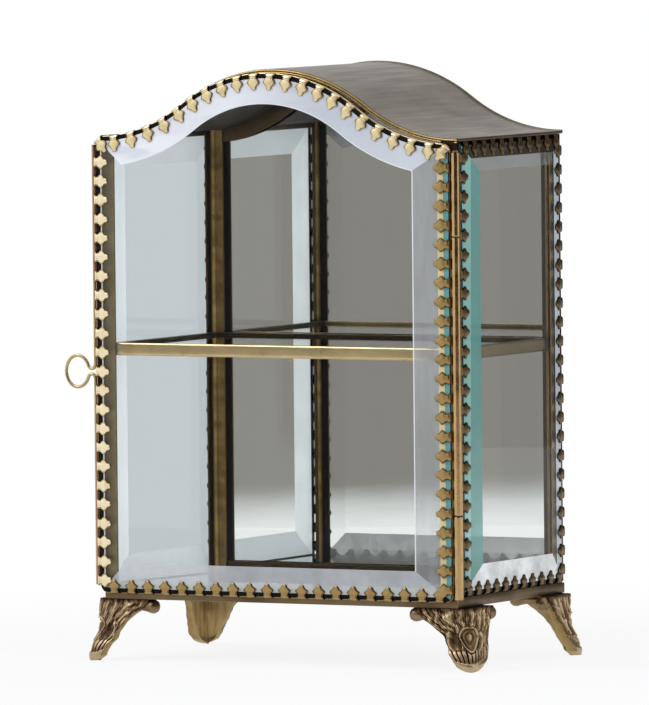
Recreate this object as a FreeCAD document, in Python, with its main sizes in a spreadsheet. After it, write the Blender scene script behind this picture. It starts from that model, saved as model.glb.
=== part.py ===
"""Arched glass display case: bevelled panes in stamped brass gallery strips, on four cast feet.

Millimetres, +Z up, front towards -Y. The pieces are drawn about the middle of the case and then
moved by centre_x and centre_y, so that the origin lies under the middle of the whole object's box,
handle and toes included, on the surface that the feet stand on.
"""
import FreeCAD, Part
import math
import os

import Sketcher
from FreeCAD import Placement, Rotation, Vector

SIZES = {
    # Case and door
    "case_width": 170,
    "case_depth": 102,
    "door_height": 190.8,
    "door_lift": 2.5,
    "door_gap": 0.4,
    "arch_rise": 28.7,
    "left_lift": 3,
    "door_crown": -3.7,
    "roof_crown": -2,
    # Base and feet
    "foot_height": 26.4,
    "foot_out": 2.3,
    "foot_in": 2.8,
    "wing_length": 26.5,
    "foot_wall": 3,
    "toe_reach": 6.9,
    "paw_width": 14,
    "ball_diameter": 6.4,
    "ball_inset": 1.8,
    "base_height": 4.5,
    "base_wall": 6,
    "base_sheet": 1,
    "base_setback": 1,
    "floor_thickness": 1.8,
    "floor_gap": 0.3,
    # Bevelled panes
    "glass_thickness": 3.2,
    "bevel_width": 12.5,
    "hinge_bevel": 16.5,
    "bevel_depth": 1.2,
    # Gallery strip: a folded rail whose necks carry petals over the edge of the pane
    "trim_sheet": 0.5,
    "trim_lip": 1.6,
    "edge_open": 0.8,
    "petal_pitch": 8.1,
    "petal_width": 5.6,
    "petal_reach": 7.2,
    "low_reach": 5.5,
    "neck_width": 3.4,
    "corner_margin": 7.4,
    "petal_ease": 0.08,
    # Corner posts of folded angle, with a fillet of solder inside
    "post_width": 6,
    "post_depth": 4,
    "post_sheet": 1,
    "post_fillet": 2,
    "post_setback": 1.4,
    # Roof
    "roof_sheet": 0.8,
    "roof_lift": 1.6,
    "bead_diameter": 1.6,
    "bead_flat": 0.2,
    # Mirrored back
    "mirror_thickness": 3,
    "mirror_lip": 5,
    "back_sheet": 0.6,
    "back_setback": 0.4,
    "fit_gap": 0.15,
    # Shelf
    "shelf_height": 103,
    "shelf_edge": 5.4,
    "shelf_sheet": 0.8,
    "shelf_glass": 3,
    "shelf_flange": 3,
    "shelf_corner": 2.2,
    # Hinge
    "barrel_diameter": 3.8,
    "pin_diameter": 1.6,
    "pin_clearance": 0.05,
    "pin_head": 0.8,
    "pin_head_diameter": 2.8,
    "end_knuckle": 35,
    "knuckle_gap": 0.3,
    "hinge_gap": 0.35,
    "hinge_out": 0.25,
    "hinge_forward": 1.6,
    "barrel_drop": 3.1,
    "barrel_rise": 1.2,
    "leaf_sheet": 0.8,
    "leaf_depth": 3.4,
    # Wire handle
    "handle_wire": 1.4,
    "handle_height": 96.2,
    "loop_radius": 6.2,
    "neck_radius": 2,
    "neck_gap": 0.7,
    "upper_leg": 37,
    "lower_leg": 30,
}

PLACES = {
    "half_width": "=sizes.case_width / 2",
    "front": "=-sizes.case_depth / 2",
    "back": "=sizes.case_depth / 2",
    "base_half": "=half_width - sizes.base_setback",
    "base_top": "=sizes.foot_height + sizes.base_height",
    "floor_top": "=base_top + sizes.floor_thickness",
    "door_low": "=sizes.foot_height + sizes.door_lift",
    "shoulder": "=door_low + sizes.door_height",
    "left_shoulder": "=shoulder + sizes.left_lift",
    "edge_depth": "=sizes.glass_thickness - sizes.bevel_depth",
    "edge_front": "=front + sizes.bevel_depth",
    "door_back": "=front + sizes.glass_thickness + sizes.trim_sheet",
    "case_front": "=door_back + sizes.door_gap",
    "roof_low": "=shoulder + sizes.roof_lift",
    "hinge_x": "=half_width + sizes.hinge_out",
    "hinge_y": "=case_front - sizes.hinge_forward",
    "door_left": "=-half_width",
    "door_right": "=hinge_x - sizes.barrel_diameter / 2 - sizes.hinge_gap",
    "barrel_low": "=door_low + sizes.barrel_rise",
    "barrel_top": "=shoulder - sizes.barrel_drop",
    "side_edge": "=half_width - sizes.bevel_depth",
    "side_inner": "=half_width - sizes.glass_thickness - sizes.trim_sheet",
    "side_front": "=case_front + sizes.post_depth",
    "post_outer": "=half_width - sizes.post_setback",
    "plate_back": "=back - sizes.back_setback - sizes.trim_sheet",
    "mirror_back": "=plate_back - sizes.back_sheet",
    "mirror_front": "=mirror_back - sizes.mirror_thickness",
    "back_inner": "=mirror_front - sizes.trim_sheet",
    "shelf_low": "=sizes.foot_height + sizes.shelf_height",
    "shelf_top": "=shelf_low + sizes.shelf_edge",
    "corner_clear": "=sizes.post_fillet * (1 - sqrt(0.5)) + sizes.floor_gap",
    "shelf_half": "=side_inner - sizes.post_sheet",
    "shelf_front": "=case_front + sizes.post_sheet",
    "shelf_back": "=back_inner - sizes.post_sheet",
    "glass_low": "=shelf_low + (sizes.shelf_edge - sizes.shelf_glass) / 2",
    "handle_x": "=door_left - sizes.handle_wire / 2",
    "handle_y": "=(door_back + edge_front + sizes.edge_open) / 2",
    "handle_z": "=sizes.foot_height + sizes.handle_height",
    "neck_rise": "=sizes.neck_radius + (sizes.neck_gap + sizes.handle_wire) / 2",
    "neck_span": "=sqrt((sizes.loop_radius + sizes.neck_radius)^2 - neck_rise^2)",
    "loop_x": "=handle_x - sizes.neck_radius - neck_span",
    "handle_end": "=loop_x - sizes.loop_radius - sizes.handle_wire / 2",
    "foot_half": "=base_half + sizes.foot_out",
    "foot_front": "=case_front + sizes.foot_in",
    "foot_back": "=back - sizes.foot_in",
    "centre_x": "=-(handle_end + foot_half + sizes.toe_reach) / 2",
    "centre_y": "=-(front + foot_back + sizes.toe_reach) / 2",
}

# Shares of the petal's reach, from the edge of the pane to its tip
PETAL_SHOULDER = 0.24
PETAL_LOBE = 0.44
PETAL_WAIST = 0.62
PETAL_TIP = 0.76
# Shares of the petal's half width
WAIST_HALF = 0.55
TIP_HALF = 0.36

# Foot sections from the base down: share of the height, of the toe's reach, of the wing, of the wall
FOOT_SECTIONS = (
    (0.00, 0.10, 1.00, 1.00),
    (0.16, 0.14, 0.86, 1.00),
    (0.31, 0.20, 0.58, 1.05),
    (0.56, 0.42, 0.37, 1.20),
    (0.84, 0.88, 0.26, 1.40),
    (0.92, 1.00, 0.21, 1.50),
    (1.00, 0.75, 0.10, 1.50),
)

X_AXIS = Vector(1, 0, 0)
Y_AXIS = Vector(0, 1, 0)
Z_AXIS = Vector(0, 0, 1)

doc = FreeCAD.newDocument("display_case")
pieces = []


def make_sheet(name, cells):
    sheet = doc.addObject("Spreadsheet::Sheet", name)
    for row, (alias, content) in enumerate(cells.items(), start=1):
        sheet.set(f"A{row}", alias)
        sheet.set(f"B{row}", str(content))
        sheet.setAlias(f"B{row}", alias)
    doc.recompute()
    return sheet


sizes = make_sheet("sizes", SIZES)
places = make_sheet("places", PLACES)


def keep(piece, label):
    """Name a finished piece and list it among those that are written out."""
    piece.Label = label
    pieces.append(piece)
    return piece


def centre(piece, x="0", y="0", z="0"):
    """Bind a piece's place, given about the middle of the case."""
    piece.setExpression("Placement.Base.x", f"{x} + places.centre_x")
    piece.setExpression("Placement.Base.y", f"{y} + places.centre_y")
    piece.setExpression("Placement.Base.z", z)


def block(name, across, deep, high):
    """A box between three pairs of bounds, in the case's own frame."""
    solid = doc.addObject("Part::Box", name)
    for side, axis, (low, top) in zip(("Length", "Width", "Height"), "xyz", (across, deep, high)):
        solid.setExpression(side, f"{top} - ({low})")
        solid.setExpression(f"Placement.Base.{axis}", low)
    return solid


def plate(label, across, deep, high):
    solid = block(label, across, deep, high)
    centre(solid, across[0], deep[0], high[0])
    return keep(solid, label)


def rod(name, diameter, x, y, low, top):
    solid = doc.addObject("Part::Cylinder", name)
    solid.setExpression("Radius", f"({diameter}) / 2")
    solid.setExpression("Height", f"{top} - ({low})")
    for axis, place in zip("xyz", (x, y, low)):
        solid.setExpression(f"Placement.Base.{axis}", place)
    return solid


def combine(kind, name, base, tool):
    """A Part::Cut or Part::Fuse of two solids."""
    result = doc.addObject(f"Part::{kind}", name)
    result.Base = base
    result.Tool = tool
    return result


def placed(shape, spot, rotation):
    """A copy of a shape, turned and moved to its place in the case's own frame."""
    return shape.transformed(Placement(spot, rotation).toMatrix(), True)


def shaped(label, shape):
    """A piece whose shape is drawn directly, in the case's own frame."""
    piece = doc.addObject("Part::Feature", label)
    piece.Shape = shape
    centre(piece)
    return keep(piece, label)


def sketch_on(body, name, corners, lengths):
    """A closed sketch of level and upright lines whose named lengths are bound to the sheets.

    The first corner lies on the body's origin. lengths maps a line's number to its name and binding.
    """
    sketch = body.newObject("Sketcher::SketchObject", name)
    plane = next(item for item in body.Origin.OriginFeatures if item.Role == "XY_Plane")
    sketch.AttachmentSupport = [(plane, "")]
    sketch.MapMode = "FlatFace"
    points = [Vector(x, y, 0) for x, y in corners]
    count = len(points)
    for index, point in enumerate(points):
        sketch.addGeometry(Part.LineSegment(point, points[(index + 1) % count]), False)
    for index in range(count):
        following = (index + 1) % count
        sketch.addConstraint(Sketcher.Constraint("Coincident", index, 2, following, 1))
        level = abs(points[following].y - points[index].y) < abs(points[following].x - points[index].x)
        sketch.addConstraint(Sketcher.Constraint("Horizontal" if level else "Vertical", index))
    sketch.addConstraint(Sketcher.Constraint("Coincident", 0, 1, -1, 1))
    for index, (length_name, binding) in lengths.items():
        start = points[index]
        run = points[(index + 1) % count] - start
        ends = (1, 2) if run.x + run.y > 0 else (2, 1)
        kind = "DistanceX" if abs(run.x) > abs(run.y) else "DistanceY"
        place = sketch.addConstraint(Sketcher.Constraint(kind, index, ends[0], index, ends[1], run.Length))
        sketch.renameConstraint(place, length_name)
        sketch.setExpression(f"Constraints.{length_name}", binding)
    return sketch


def padded(body, name, sketch, length):
    pad = body.newObject("PartDesign::Pad", name)
    pad.Profile = sketch
    pad.setExpression("Length", length)
    doc.recompute()
    return pad


def turned(x_axis, y_axis, z_axis):
    return Rotation(x_axis, y_axis, z_axis, "ZXY")


# Ogee arch


class Arch:
    """An ogee of two equal arcs a side, level at both shoulders and at the crown.

    inset moves the line inwards along its normal, and the ends in from the two sides.
    """

    def __init__(self, left, right, crown, inset=0.0, left_inset=0.0, right_inset=0.0):
        self.crown = crown - Z_AXIS * inset
        self.right = self.flank(right, crown, inset, -right_inset)
        self.left = self.flank(left, crown, inset, left_inset)

    def flank(self, shoulder, crown, inset, step):
        """The end, a middle point, the join of the two arcs, and a middle point of the upper one."""
        run = crown - shoulder
        radius = (run.x**2 + run.z**2) / (4 * run.z)
        hub = shoulder + Z_AXIS * radius
        crown_hub = crown - Z_AXIS * radius
        lower = radius + inset
        end = hub + Vector(step, 0, -math.sqrt(lower**2 - step**2))
        join = hub + (crown_hub - hub).normalize() * lower
        middle = hub + ((end - hub) + (join - hub)).normalize() * lower
        high = crown_hub + ((join - crown_hub) + (self.crown - crown_hub)).normalize() * (radius - inset)
        return end, middle, join, high

    def edges(self, y):
        """The line from the right end over the crown to the left end, at depth y."""
        shift = Vector(0, y, 0)
        crown = self.crown + shift
        right = [point + shift for point in self.right]
        left = [point + shift for point in self.left]
        return [
            Part.Arc(*right[:3]).toShape(),
            Part.Arc(right[2], right[3], crown).toShape(),
            Part.Arc(crown, left[3], left[2]).toShape(),
            Part.Arc(*reversed(left[:3])).toShape(),
        ]

    def outline(self, y, low):
        """The closed outline of a panel under the arch."""
        right = self.right[0] + Vector(0, y, 0)
        left = self.left[0] + Vector(0, y, 0)
        right_foot = Vector(right.x, y, low)
        left_foot = Vector(left.x, y, low)
        sides = [
            Part.makeLine(left, left_foot),
            Part.makeLine(left_foot, right_foot),
            Part.makeLine(right_foot, right),
        ]
        return Part.Wire(self.edges(y) + sides)


def arch_band(outer, inner, y_from, y_to):
    """The solid between two arches, from one depth to another."""
    upper = outer.edges(y_from)
    lower = inner.edges(y_from)
    shift = Vector(0, y_from, 0)
    ends = [
        Part.makeLine(outer.left[0] + shift, inner.left[0] + shift),
        Part.makeLine(inner.right[0] + shift, outer.right[0] + shift),
    ]
    ring = Part.Wire(Part.__sortEdges__(upper + [ends[0]] + lower + [ends[1]]))
    return Part.Face(ring).extrude(Vector(0, y_to - y_from, 0))


def panel(outline, depth):
    return Part.Face(outline).extrude(Vector(0, depth, 0))


def door_arch(inset=0.0, left_inset=0.0, right_inset=0.0):
    left = Vector(places.door_left, 0, places.left_shoulder)
    right = Vector(places.door_right, 0, places.shoulder)
    crown = Vector(sizes.door_crown, 0, places.shoulder + sizes.arch_rise)
    return Arch(left, right, crown, inset, left_inset, right_inset)


def roof_arch(inset=0.0, side_inset=0.0):
    left = Vector(-places.half_width, 0, places.roof_low)
    right = Vector(places.half_width, 0, places.roof_low)
    crown = Vector(sizes.roof_crown, 0, places.roof_low + sizes.arch_rise)
    return Arch(left, right, crown, inset, side_inset, side_inset)


# Gallery strip, in its own frame: X along the strip, Y into the pane, Z out of the pane


def petal(slope, reach, ease=0.0):
    """One petal with the neck that carries it over the edge of the pane.

    ease holds it off an edge that curves away under its flat sheet.
    """
    half = sizes.petal_width / 2
    neck = sizes.neck_width / 2
    sheet = sizes.trim_sheet

    def point(x, share):
        return Vector(x, reach * share, 0)

    root = -sheet / 2
    waist = half * WAIST_HALF
    tip = half * TIP_HALF
    outline = Part.Wire([
        Part.makeLine(Vector(-neck, root, 0), Vector(neck, root, 0)),
        Part.makeLine(Vector(neck, root, 0), point(neck, PETAL_SHOULDER)),
        Part.Arc(point(neck, PETAL_SHOULDER), point(half, PETAL_LOBE), point(waist, PETAL_WAIST)).toShape(),
        Part.makeLine(point(waist, PETAL_WAIST), point(tip, PETAL_TIP)),
        Part.Arc(point(tip, PETAL_TIP), point(0, 1), point(-tip, PETAL_TIP)).toShape(),
        Part.makeLine(point(-tip, PETAL_TIP), point(-waist, PETAL_WAIST)),
        Part.Arc(point(-waist, PETAL_WAIST), point(-half, PETAL_LOBE), point(-neck, PETAL_SHOULDER)).toShape(),
        Part.makeLine(point(-neck, PETAL_SHOULDER), Vector(-neck, root, 0)),
    ])
    leaf = Part.Face(outline).extrude(Vector(0, 0, sheet))
    leaf.rotate(Vector(0, 0, 0), X_AXIS, math.degrees(math.atan(slope)))
    leaf.translate(Vector(0, -ease, ease))
    neck_corner = Vector(-neck, -sheet - ease, -sizes.edge_open)
    fold = Part.makeBox(2 * neck, sheet, sizes.edge_open + ease + sheet, neck_corner)
    return fold.fuse(leaf)


def petal_places(length):
    """How far along a strip of this length each petal stands, evenly about its middle."""
    count = int((length - 2 * sizes.corner_margin) / sizes.petal_pitch) + 1
    first = (length - (count - 1) * sizes.petal_pitch) / 2
    return [first + index * sizes.petal_pitch for index in range(count)]


def straight_strip(label, start, end, inward, outward, edge, slope, lip, lip_cut):
    """A strip along a straight edge of a pane; the petals that stand on a lower edge are shorter.

    start and end lie on the outer corner of the edge, edge is the pane's thickness there, and the lip
    behind the pane stops lip_cut short of both ends.
    """
    along = inward.cross(outward)
    if (end - start).dot(along) < 0:
        start, end = end, start
    length = (end - start).Length
    sheet = sizes.trim_sheet
    band = Part.makeBox(length, sheet, edge + sheet - sizes.edge_open, Vector(0, -sheet, -edge - sheet))
    behind = Part.makeBox(length - 2 * lip_cut, lip, sheet, Vector(lip_cut, 0, -edge - sheet))
    one_petal = petal(slope, sizes.low_reach if inward.z > 0 else sizes.petal_reach)
    row = []
    for place in petal_places(length):
        row.append(one_petal.translated(Vector(place, 0, 0)))
    solid = band.multiFuse([behind] + row).removeSplitter()
    return shaped(label, placed(solid, start, turned(along, inward, outward)))


def arch_strip(label, arch, outward, face, edge, slope, lip):
    """A strip over the top of an arched panel. arch(inset, side_inset) gives its lines."""
    sheet = sizes.trim_sheet
    inner_y = face - outward.y * (edge + sheet)
    open_y = face - outward.y * sizes.edge_open
    lip_y = face - outward.y * edge
    edge_line = arch(sheet, sheet)
    band = arch_band(arch(0.0, sheet), edge_line, open_y, inner_y)
    lip_end = sheet + lip
    behind = arch_band(arch(sheet, lip_end), arch(lip_end, lip_end), lip_y, inner_y)
    path = Part.Wire(edge_line.edges(face))
    one_petal = petal(slope, sizes.petal_reach, sizes.petal_ease)
    row = []
    for place in petal_places(path.Length):
        spot, inward = along_arch(path, place)
        row.append(placed(one_petal, spot, turned(inward.cross(outward), inward, outward)))
    return shaped(label, band.multiFuse([behind] + row).removeSplitter())


def along_arch(path, distance):
    """The point this far along a line over an arch, and the direction into the pane there."""
    for edge in path.Edges:
        if distance <= edge.Length:
            place = edge.getParameterByLength(distance)
            across = edge.tangentAt(place).cross(Y_AXIS).normalize()
            return edge.valueAt(place), across if across.z < 0 else across * -1
        distance -= edge.Length
    raise ValueError("distance lies beyond the end of the arch")


# Pieces of the case


def base_and_floor():
    across = ("-places.base_half", "places.base_half")
    deep = ("places.case_front", "places.back")
    outer = block("base_block", across, deep, ("sizes.foot_height", "places.base_top"))
    hollow = block(
        "base_hollow",
        ("-places.base_half + sizes.base_wall", "places.base_half - sizes.base_wall"),
        ("places.case_front + sizes.base_wall", "places.back - sizes.base_wall"),
        ("sizes.foot_height", "places.base_top - sizes.base_sheet"),
    )
    base = combine("Cut", "base_tray", outer, hollow)
    centre(base)
    keep(base, "base_tray")
    plate(
        "floor_mirror",
        ("-places.shelf_half + places.corner_clear", "places.shelf_half - places.corner_clear"),
        ("places.shelf_front + places.corner_clear", "places.shelf_back - places.corner_clear"),
        ("places.base_top", "places.floor_top"),
    )


def foot_shape():
    """A foot at a corner: X and Y run along its two wings, and Z is 0 under the base."""
    paw = sizes.paw_width / math.sqrt(2) - sizes.toe_reach
    sections = []
    for drop, reach, spread, wall in FOOT_SECTIONS:
        z = -drop * sizes.foot_height
        out = -reach * sizes.toe_reach
        inner = out + wall * sizes.foot_wall
        wing = paw + spread * (sizes.wing_length - paw)
        corners = [(out, out), (wing, out), (wing, inner), (inner, inner), (inner, wing), (out, wing)]
        sections.append(Part.makePolygon([Vector(x, y, z) for x, y in corners + corners[:1]]))
    leg = Part.makeLoft(sections, True, True)
    radius = sizes.ball_diameter / 2
    end = sizes.wing_length - sizes.ball_inset
    balls = [
        Part.makeSphere(radius, Vector(end, 0, -radius)),
        Part.makeSphere(radius, Vector(0, end, -radius)),
    ]
    return leg.multiFuse(balls)


def feet():
    half = places.foot_half
    corners = {
        "foot_front_left": (-half, places.foot_front, 0),
        "foot_front_right": (half, places.foot_front, 90),
        "foot_back_right": (half, places.foot_back, 180),
        "foot_back_left": (-half, places.foot_back, 270),
    }
    one_foot = foot_shape()
    for label, (x, y, turn) in corners.items():
        corner = Vector(x, y, sizes.foot_height)
        shaped(label, placed(one_foot, corner, Rotation(Z_AXIS, turn)))


def angle_post(label, x, y, turn, legs):
    """A folded angle from the base to the roof, its outer corner at x, y and its legs turned inwards."""
    body = doc.addObject("PartDesign::Body", label)
    sheet = sizes.post_sheet
    long = 3 * sheet
    corners = [(0, 0), (long, 0), (long, sheet), (sheet, sheet), (sheet, long), (0, long)]
    lengths = {
        0: ("first_leg", legs[0]),
        1: ("first_sheet", "sizes.post_sheet"),
        4: ("second_sheet", "sizes.post_sheet"),
        5: ("second_leg", legs[1]),
    }
    sketch = sketch_on(body, f"{label}_section", corners, lengths)
    pad = padded(body, f"{label}_angle", sketch, "places.roof_low - places.base_top")
    solder = body.newObject("PartDesign::Fillet", f"{label}_solder")
    solder.Base = (pad, [inner_edge(pad.Shape)])
    solder.setExpression("Radius", "sizes.post_fillet")
    body.Placement = Placement(Vector(), Rotation(Z_AXIS, turn))
    centre(body, x, y, "places.base_top")
    keep(body, label)


def inner_edge(shape):
    """The name of the upright edge in the inside corner of an angle."""
    inside = Vector(sizes.post_sheet, sizes.post_sheet, 0)
    for index, edge in enumerate(shape.Edges, start=1):
        middle = edge.CenterOfMass
        if abs(middle.x - inside.x) < 1e-6 and abs(middle.y - inside.y) < 1e-6:
            return f"Edge{index}"
    raise ValueError("the angle has no inside corner")


def posts():
    front = ("sizes.post_width", "sizes.post_depth")
    angle_post("post_front_left", "-places.post_outer", "places.case_front", 0, front)
    angle_post("post_front_right", "places.post_outer", "places.case_front", 90, front[::-1])
    back = ("sizes.post_width", "sizes.post_width")
    angle_post("post_back_right", "places.side_inner", "places.back_inner", 180, back)
    angle_post("post_back_left", "-places.side_inner", "places.back_inner", 270, back)


def side_pane(label, outward):
    """A bevelled pane, drawn flat with its outer face up."""
    body = doc.addObject("PartDesign::Body", label)
    wide = places.back - places.side_front
    tall = places.roof_low - places.base_top
    corners = [(0, 0), (wide, 0), (wide, tall), (0, tall)]
    lengths = {
        0: ("pane_width", "places.back - places.side_front - 2 * sizes.trim_sheet"),
        1: ("pane_height", "places.roof_low - places.base_top - 2 * sizes.trim_sheet"),
    }
    sketch = sketch_on(body, f"{label}_outline", corners, lengths)
    pad = padded(body, f"{label}_sheet", sketch, "sizes.glass_thickness")
    face = max(range(len(pad.Shape.Faces)), key=lambda index: pad.Shape.Faces[index].CenterOfMass.z)
    bevel = body.newObject("PartDesign::Chamfer", f"{label}_bevel")
    bevel.Base = (pad, [f"Face{face + 1}"])
    bevel.ChamferType = "Two distances"
    bevel.setExpression("Size", "sizes.bevel_depth")
    bevel.setExpression("Size2", "sizes.bevel_width")
    along = Y_AXIS * outward
    body.Placement = Placement(Vector(), turned(along, Z_AXIS, X_AXIS * outward))
    inner_x = "places.half_width - sizes.glass_thickness"
    if outward > 0:
        centre(body, inner_x, "places.side_front + sizes.trim_sheet", "places.base_top + sizes.trim_sheet")
    else:
        centre(body, f"-({inner_x})", "places.back - sizes.trim_sheet", "places.base_top + sizes.trim_sheet")
    keep(body, label)


def side_strips(hand, outward):
    """The four strips round a side pane; the upright ones run the full height."""
    sheet = sizes.trim_sheet
    out = X_AXIS * outward
    x = places.side_edge * outward
    front = places.side_front + sheet
    back = places.back - sheet
    low = places.base_top
    top = places.roof_low
    slope = sizes.bevel_depth / sizes.bevel_width
    common = (out, places.edge_depth, slope, sizes.trim_lip)
    runs = {
        "front": ((front, low), (front, top), Y_AXIS, sheet),
        "back": ((back, low), (back, top), Y_AXIS * -1, sheet),
        "bottom": ((front, low + sheet), (back, low + sheet), Z_AXIS, sizes.trim_lip),
        "top": ((front, top - sheet), (back, top - sheet), Z_AXIS * -1, sizes.trim_lip),
    }
    for name, (start, end, inward, lip_cut) in runs.items():
        straight_strip(f"{hand}_trim_{name}", Vector(x, *start), Vector(x, *end), inward, *common, lip_cut)


def roof():
    sheet_front = places.case_front + sizes.bead_diameter - sizes.bead_flat
    sheet_back = places.back - sizes.bead_diameter + sizes.bead_flat
    shaped("roof_sheet", arch_band(roof_arch(-sizes.roof_sheet), roof_arch(), sheet_front, sheet_back))
    roof_bead("roof_bead_front", places.case_front, 1)
    roof_bead("roof_bead_back", places.back, -1)


def roof_bead(label, y, inward):
    """A half-round bead along the edge of the roof, flat where the sheet meets it."""
    radius = sizes.bead_diameter / 2
    path = Part.Wire(roof_arch(-radius).edges(y + inward * radius))
    hub = path.Edges[0].valueAt(path.Edges[0].FirstParameter)
    depth = radius - sizes.bead_flat
    half = math.sqrt(radius**2 - depth**2)
    top = hub + Vector(0, inward * depth, half)
    low = hub + Vector(0, inward * depth, -half)
    nose = hub - Vector(0, inward * radius, 0)
    section = Part.Wire([Part.Arc(top, nose, low).toShape(), Part.makeLine(low, top)])
    shaped(label, path.makePipeShell([section], True, False))


def back_arch(inset=0.0, side_inset=0.0):
    """The top of the mirrored back, which fits between the side panes and under the roof."""
    return roof_arch(sizes.fit_gap + inset, places.half_width - places.side_inner + side_inset)


def mirrored_back():
    sheet = sizes.trim_sheet
    low = places.base_top + sheet
    arch = back_arch(sheet, sheet)
    shaped("back_mirror", panel(arch.outline(places.mirror_front, low), sizes.mirror_thickness))
    shaped("back_plate", panel(arch.outline(places.mirror_back, low), sizes.back_sheet))
    edge = sizes.mirror_thickness + sizes.back_sheet
    side = places.side_inner - sheet
    ends = back_arch(0.0, sheet)
    common = (Y_AXIS, edge, 0.0, sizes.mirror_lip)
    face = places.plate_back

    def run(name, start, end, inward, lip_cut):
        points = [Vector(x, face, z) for x, z in (start, end)]
        straight_strip(f"back_trim_{name}", *points, inward, *common, lip_cut)

    run("left", (-side, places.base_top), (-side, ends.left[0].z), X_AXIS, sheet)
    run("right", (side, places.base_top), (side, ends.right[0].z), X_AXIS * -1, sheet)
    run("bottom", (-side, low), (side, low), Z_AXIS, sizes.mirror_lip)
    arch_strip("back_trim_top", back_arch, Y_AXIS, face, edge, 0.0, sizes.mirror_lip)


def shelf():
    """A sheet of glass held on all four sides by a folded channel, which meets the four posts."""
    high = ("places.shelf_low", "places.shelf_top")
    glass_high = ("places.glass_low", "places.glass_low + sizes.shelf_glass")
    glass_half = "places.shelf_half - sizes.shelf_sheet"
    glass_front = "places.shelf_front + sizes.shelf_sheet"
    glass_back = "places.shelf_back - sizes.shelf_sheet"
    plate("shelf_glass", (f"-({glass_half})", glass_half), (glass_front, glass_back), glass_high)
    corner = "sizes.shelf_corner"
    flange = "sizes.shelf_flange"
    long = (f"-places.shelf_half + {corner}", f"places.shelf_half - {corner}")
    short = (f"places.shelf_front + {flange}", f"places.shelf_back - {flange}")
    left = ("-places.shelf_half", f"-places.shelf_half + {flange}")
    right = (f"places.shelf_half - {flange}", "places.shelf_half")
    front = ("places.shelf_front", f"places.shelf_front + {flange}")
    back = (f"places.shelf_back - {flange}", "places.shelf_back")
    channels = {
        "front": ((long, front), (long, (glass_front, front[1]))),
        "back": ((long, back), (long, (back[0], glass_back))),
        "left": ((left, short), ((f"-({glass_half})", left[1]), short)),
        "right": ((right, short), ((right[0], glass_half), short)),
    }
    for name, (outside, groove) in channels.items():
        label = f"shelf_edge_{name}"
        solid = block(f"{label}_bar", *outside, high)
        slot = block(f"{label}_slot", *groove, glass_high)
        channel = combine("Cut", label, solid, slot)
        centre(channel)
        keep(channel, label)


# Hinge


def knuckle(label, low, top, leaf_across, leaf_deep, leaf_low):
    """A length of tube with the leaf that is soldered to what it carries."""
    axis = ("places.hinge_x", "places.hinge_y")
    tube = rod(f"{label}_tube", "sizes.barrel_diameter", *axis, low, top)
    leaf = block(f"{label}_leaf", leaf_across, leaf_deep, (leaf_low, top))
    joined = combine("Fuse", f"{label}_joined", tube, leaf)
    bore = rod(f"{label}_bore", "sizes.pin_diameter + 2 * sizes.pin_clearance", *axis, low, top)
    finished = combine("Cut", label, joined, bore)
    centre(finished)
    keep(finished, label)


def hinge():
    lower_split = "places.barrel_low + sizes.end_knuckle"
    upper_split = "places.barrel_top - sizes.end_knuckle"
    case_leaf = (
        ("places.post_outer", "places.post_outer + sizes.leaf_sheet"),
        ("places.case_front - sizes.leaf_sheet / 2", "places.case_front + sizes.leaf_depth"),
    )
    knuckle("hinge_knuckle_bottom", "places.barrel_low", lower_split, *case_leaf, "places.base_top")
    knuckle("hinge_knuckle_top", upper_split, "places.barrel_top", *case_leaf, upper_split)
    door_leaf = (
        ("places.door_right", "places.hinge_x - sizes.pin_diameter"),
        ("places.edge_front + sizes.edge_open", "places.hinge_y + sizes.leaf_sheet"),
    )
    door_low = f"{lower_split} + sizes.knuckle_gap"
    door_top = f"{upper_split} - sizes.knuckle_gap"
    knuckle("hinge_knuckle_door", door_low, door_top, *door_leaf, door_low)
    hinge_pin()


def hinge_pin():
    """The pin, with a head at each end that keeps it in the tube."""
    axis = ("places.hinge_x", "places.hinge_y")
    shank = rod("pin_shank", "sizes.pin_diameter", *axis, "places.barrel_low", "places.barrel_top")
    head = "sizes.pin_head_diameter"
    upper = rod("pin_upper_head", head, *axis, "places.barrel_top", "places.barrel_top + sizes.pin_head")
    lower = rod("pin_lower_head", head, *axis, "places.barrel_low - sizes.pin_head", "places.barrel_low")
    pin = doc.addObject("Part::MultiFuse", "hinge_pin")
    pin.Shapes = [shank, upper, lower]
    centre(pin)
    keep(pin, "hinge_pin")


# Door


def door():
    sheet = sizes.trim_sheet
    low = places.door_low
    bevel = sheet + sizes.bevel_width
    edge = door_arch(sheet, sheet, sheet)
    face = door_arch(bevel, bevel, sheet + sizes.hinge_bevel)
    back = panel(edge.outline(places.front + sizes.glass_thickness, low + sheet), -places.edge_depth)
    rim = edge.outline(places.edge_front, low + sheet)
    flat = face.outline(places.front, low + bevel)
    shaped("door_glass", back.fuse(Part.makeLoft([rim, flat], True, True)).removeSplitter())
    door_strips()
    handle()


def door_strips():
    sheet = sizes.trim_sheet
    out = Y_AXIS * -1
    slope = sizes.bevel_depth / sizes.bevel_width
    left = places.door_left + sheet
    right = places.door_right - sheet
    low = places.door_low
    common = (out, places.edge_depth, slope, sizes.trim_lip)

    def run(name, start, end, inward, lip_cut):
        ends = [Vector(x, places.edge_front, z) for x, z in (start, end)]
        straight_strip(f"door_trim_{name}", *ends, inward, *common, lip_cut)

    run("left", (left, low), (left, places.left_shoulder), X_AXIS, sheet)
    run("right", (right, low), (right, places.shoulder), X_AXIS * -1, sheet)
    run("bottom", (left, low + sheet), (right, low + sheet), Z_AXIS, sizes.trim_lip)

    def arch(inset, side_inset):
        return door_arch(inset, side_inset, side_inset)

    arch_strip("door_trim_top", arch, out, places.edge_front, places.edge_depth, slope, sizes.trim_lip)


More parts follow.
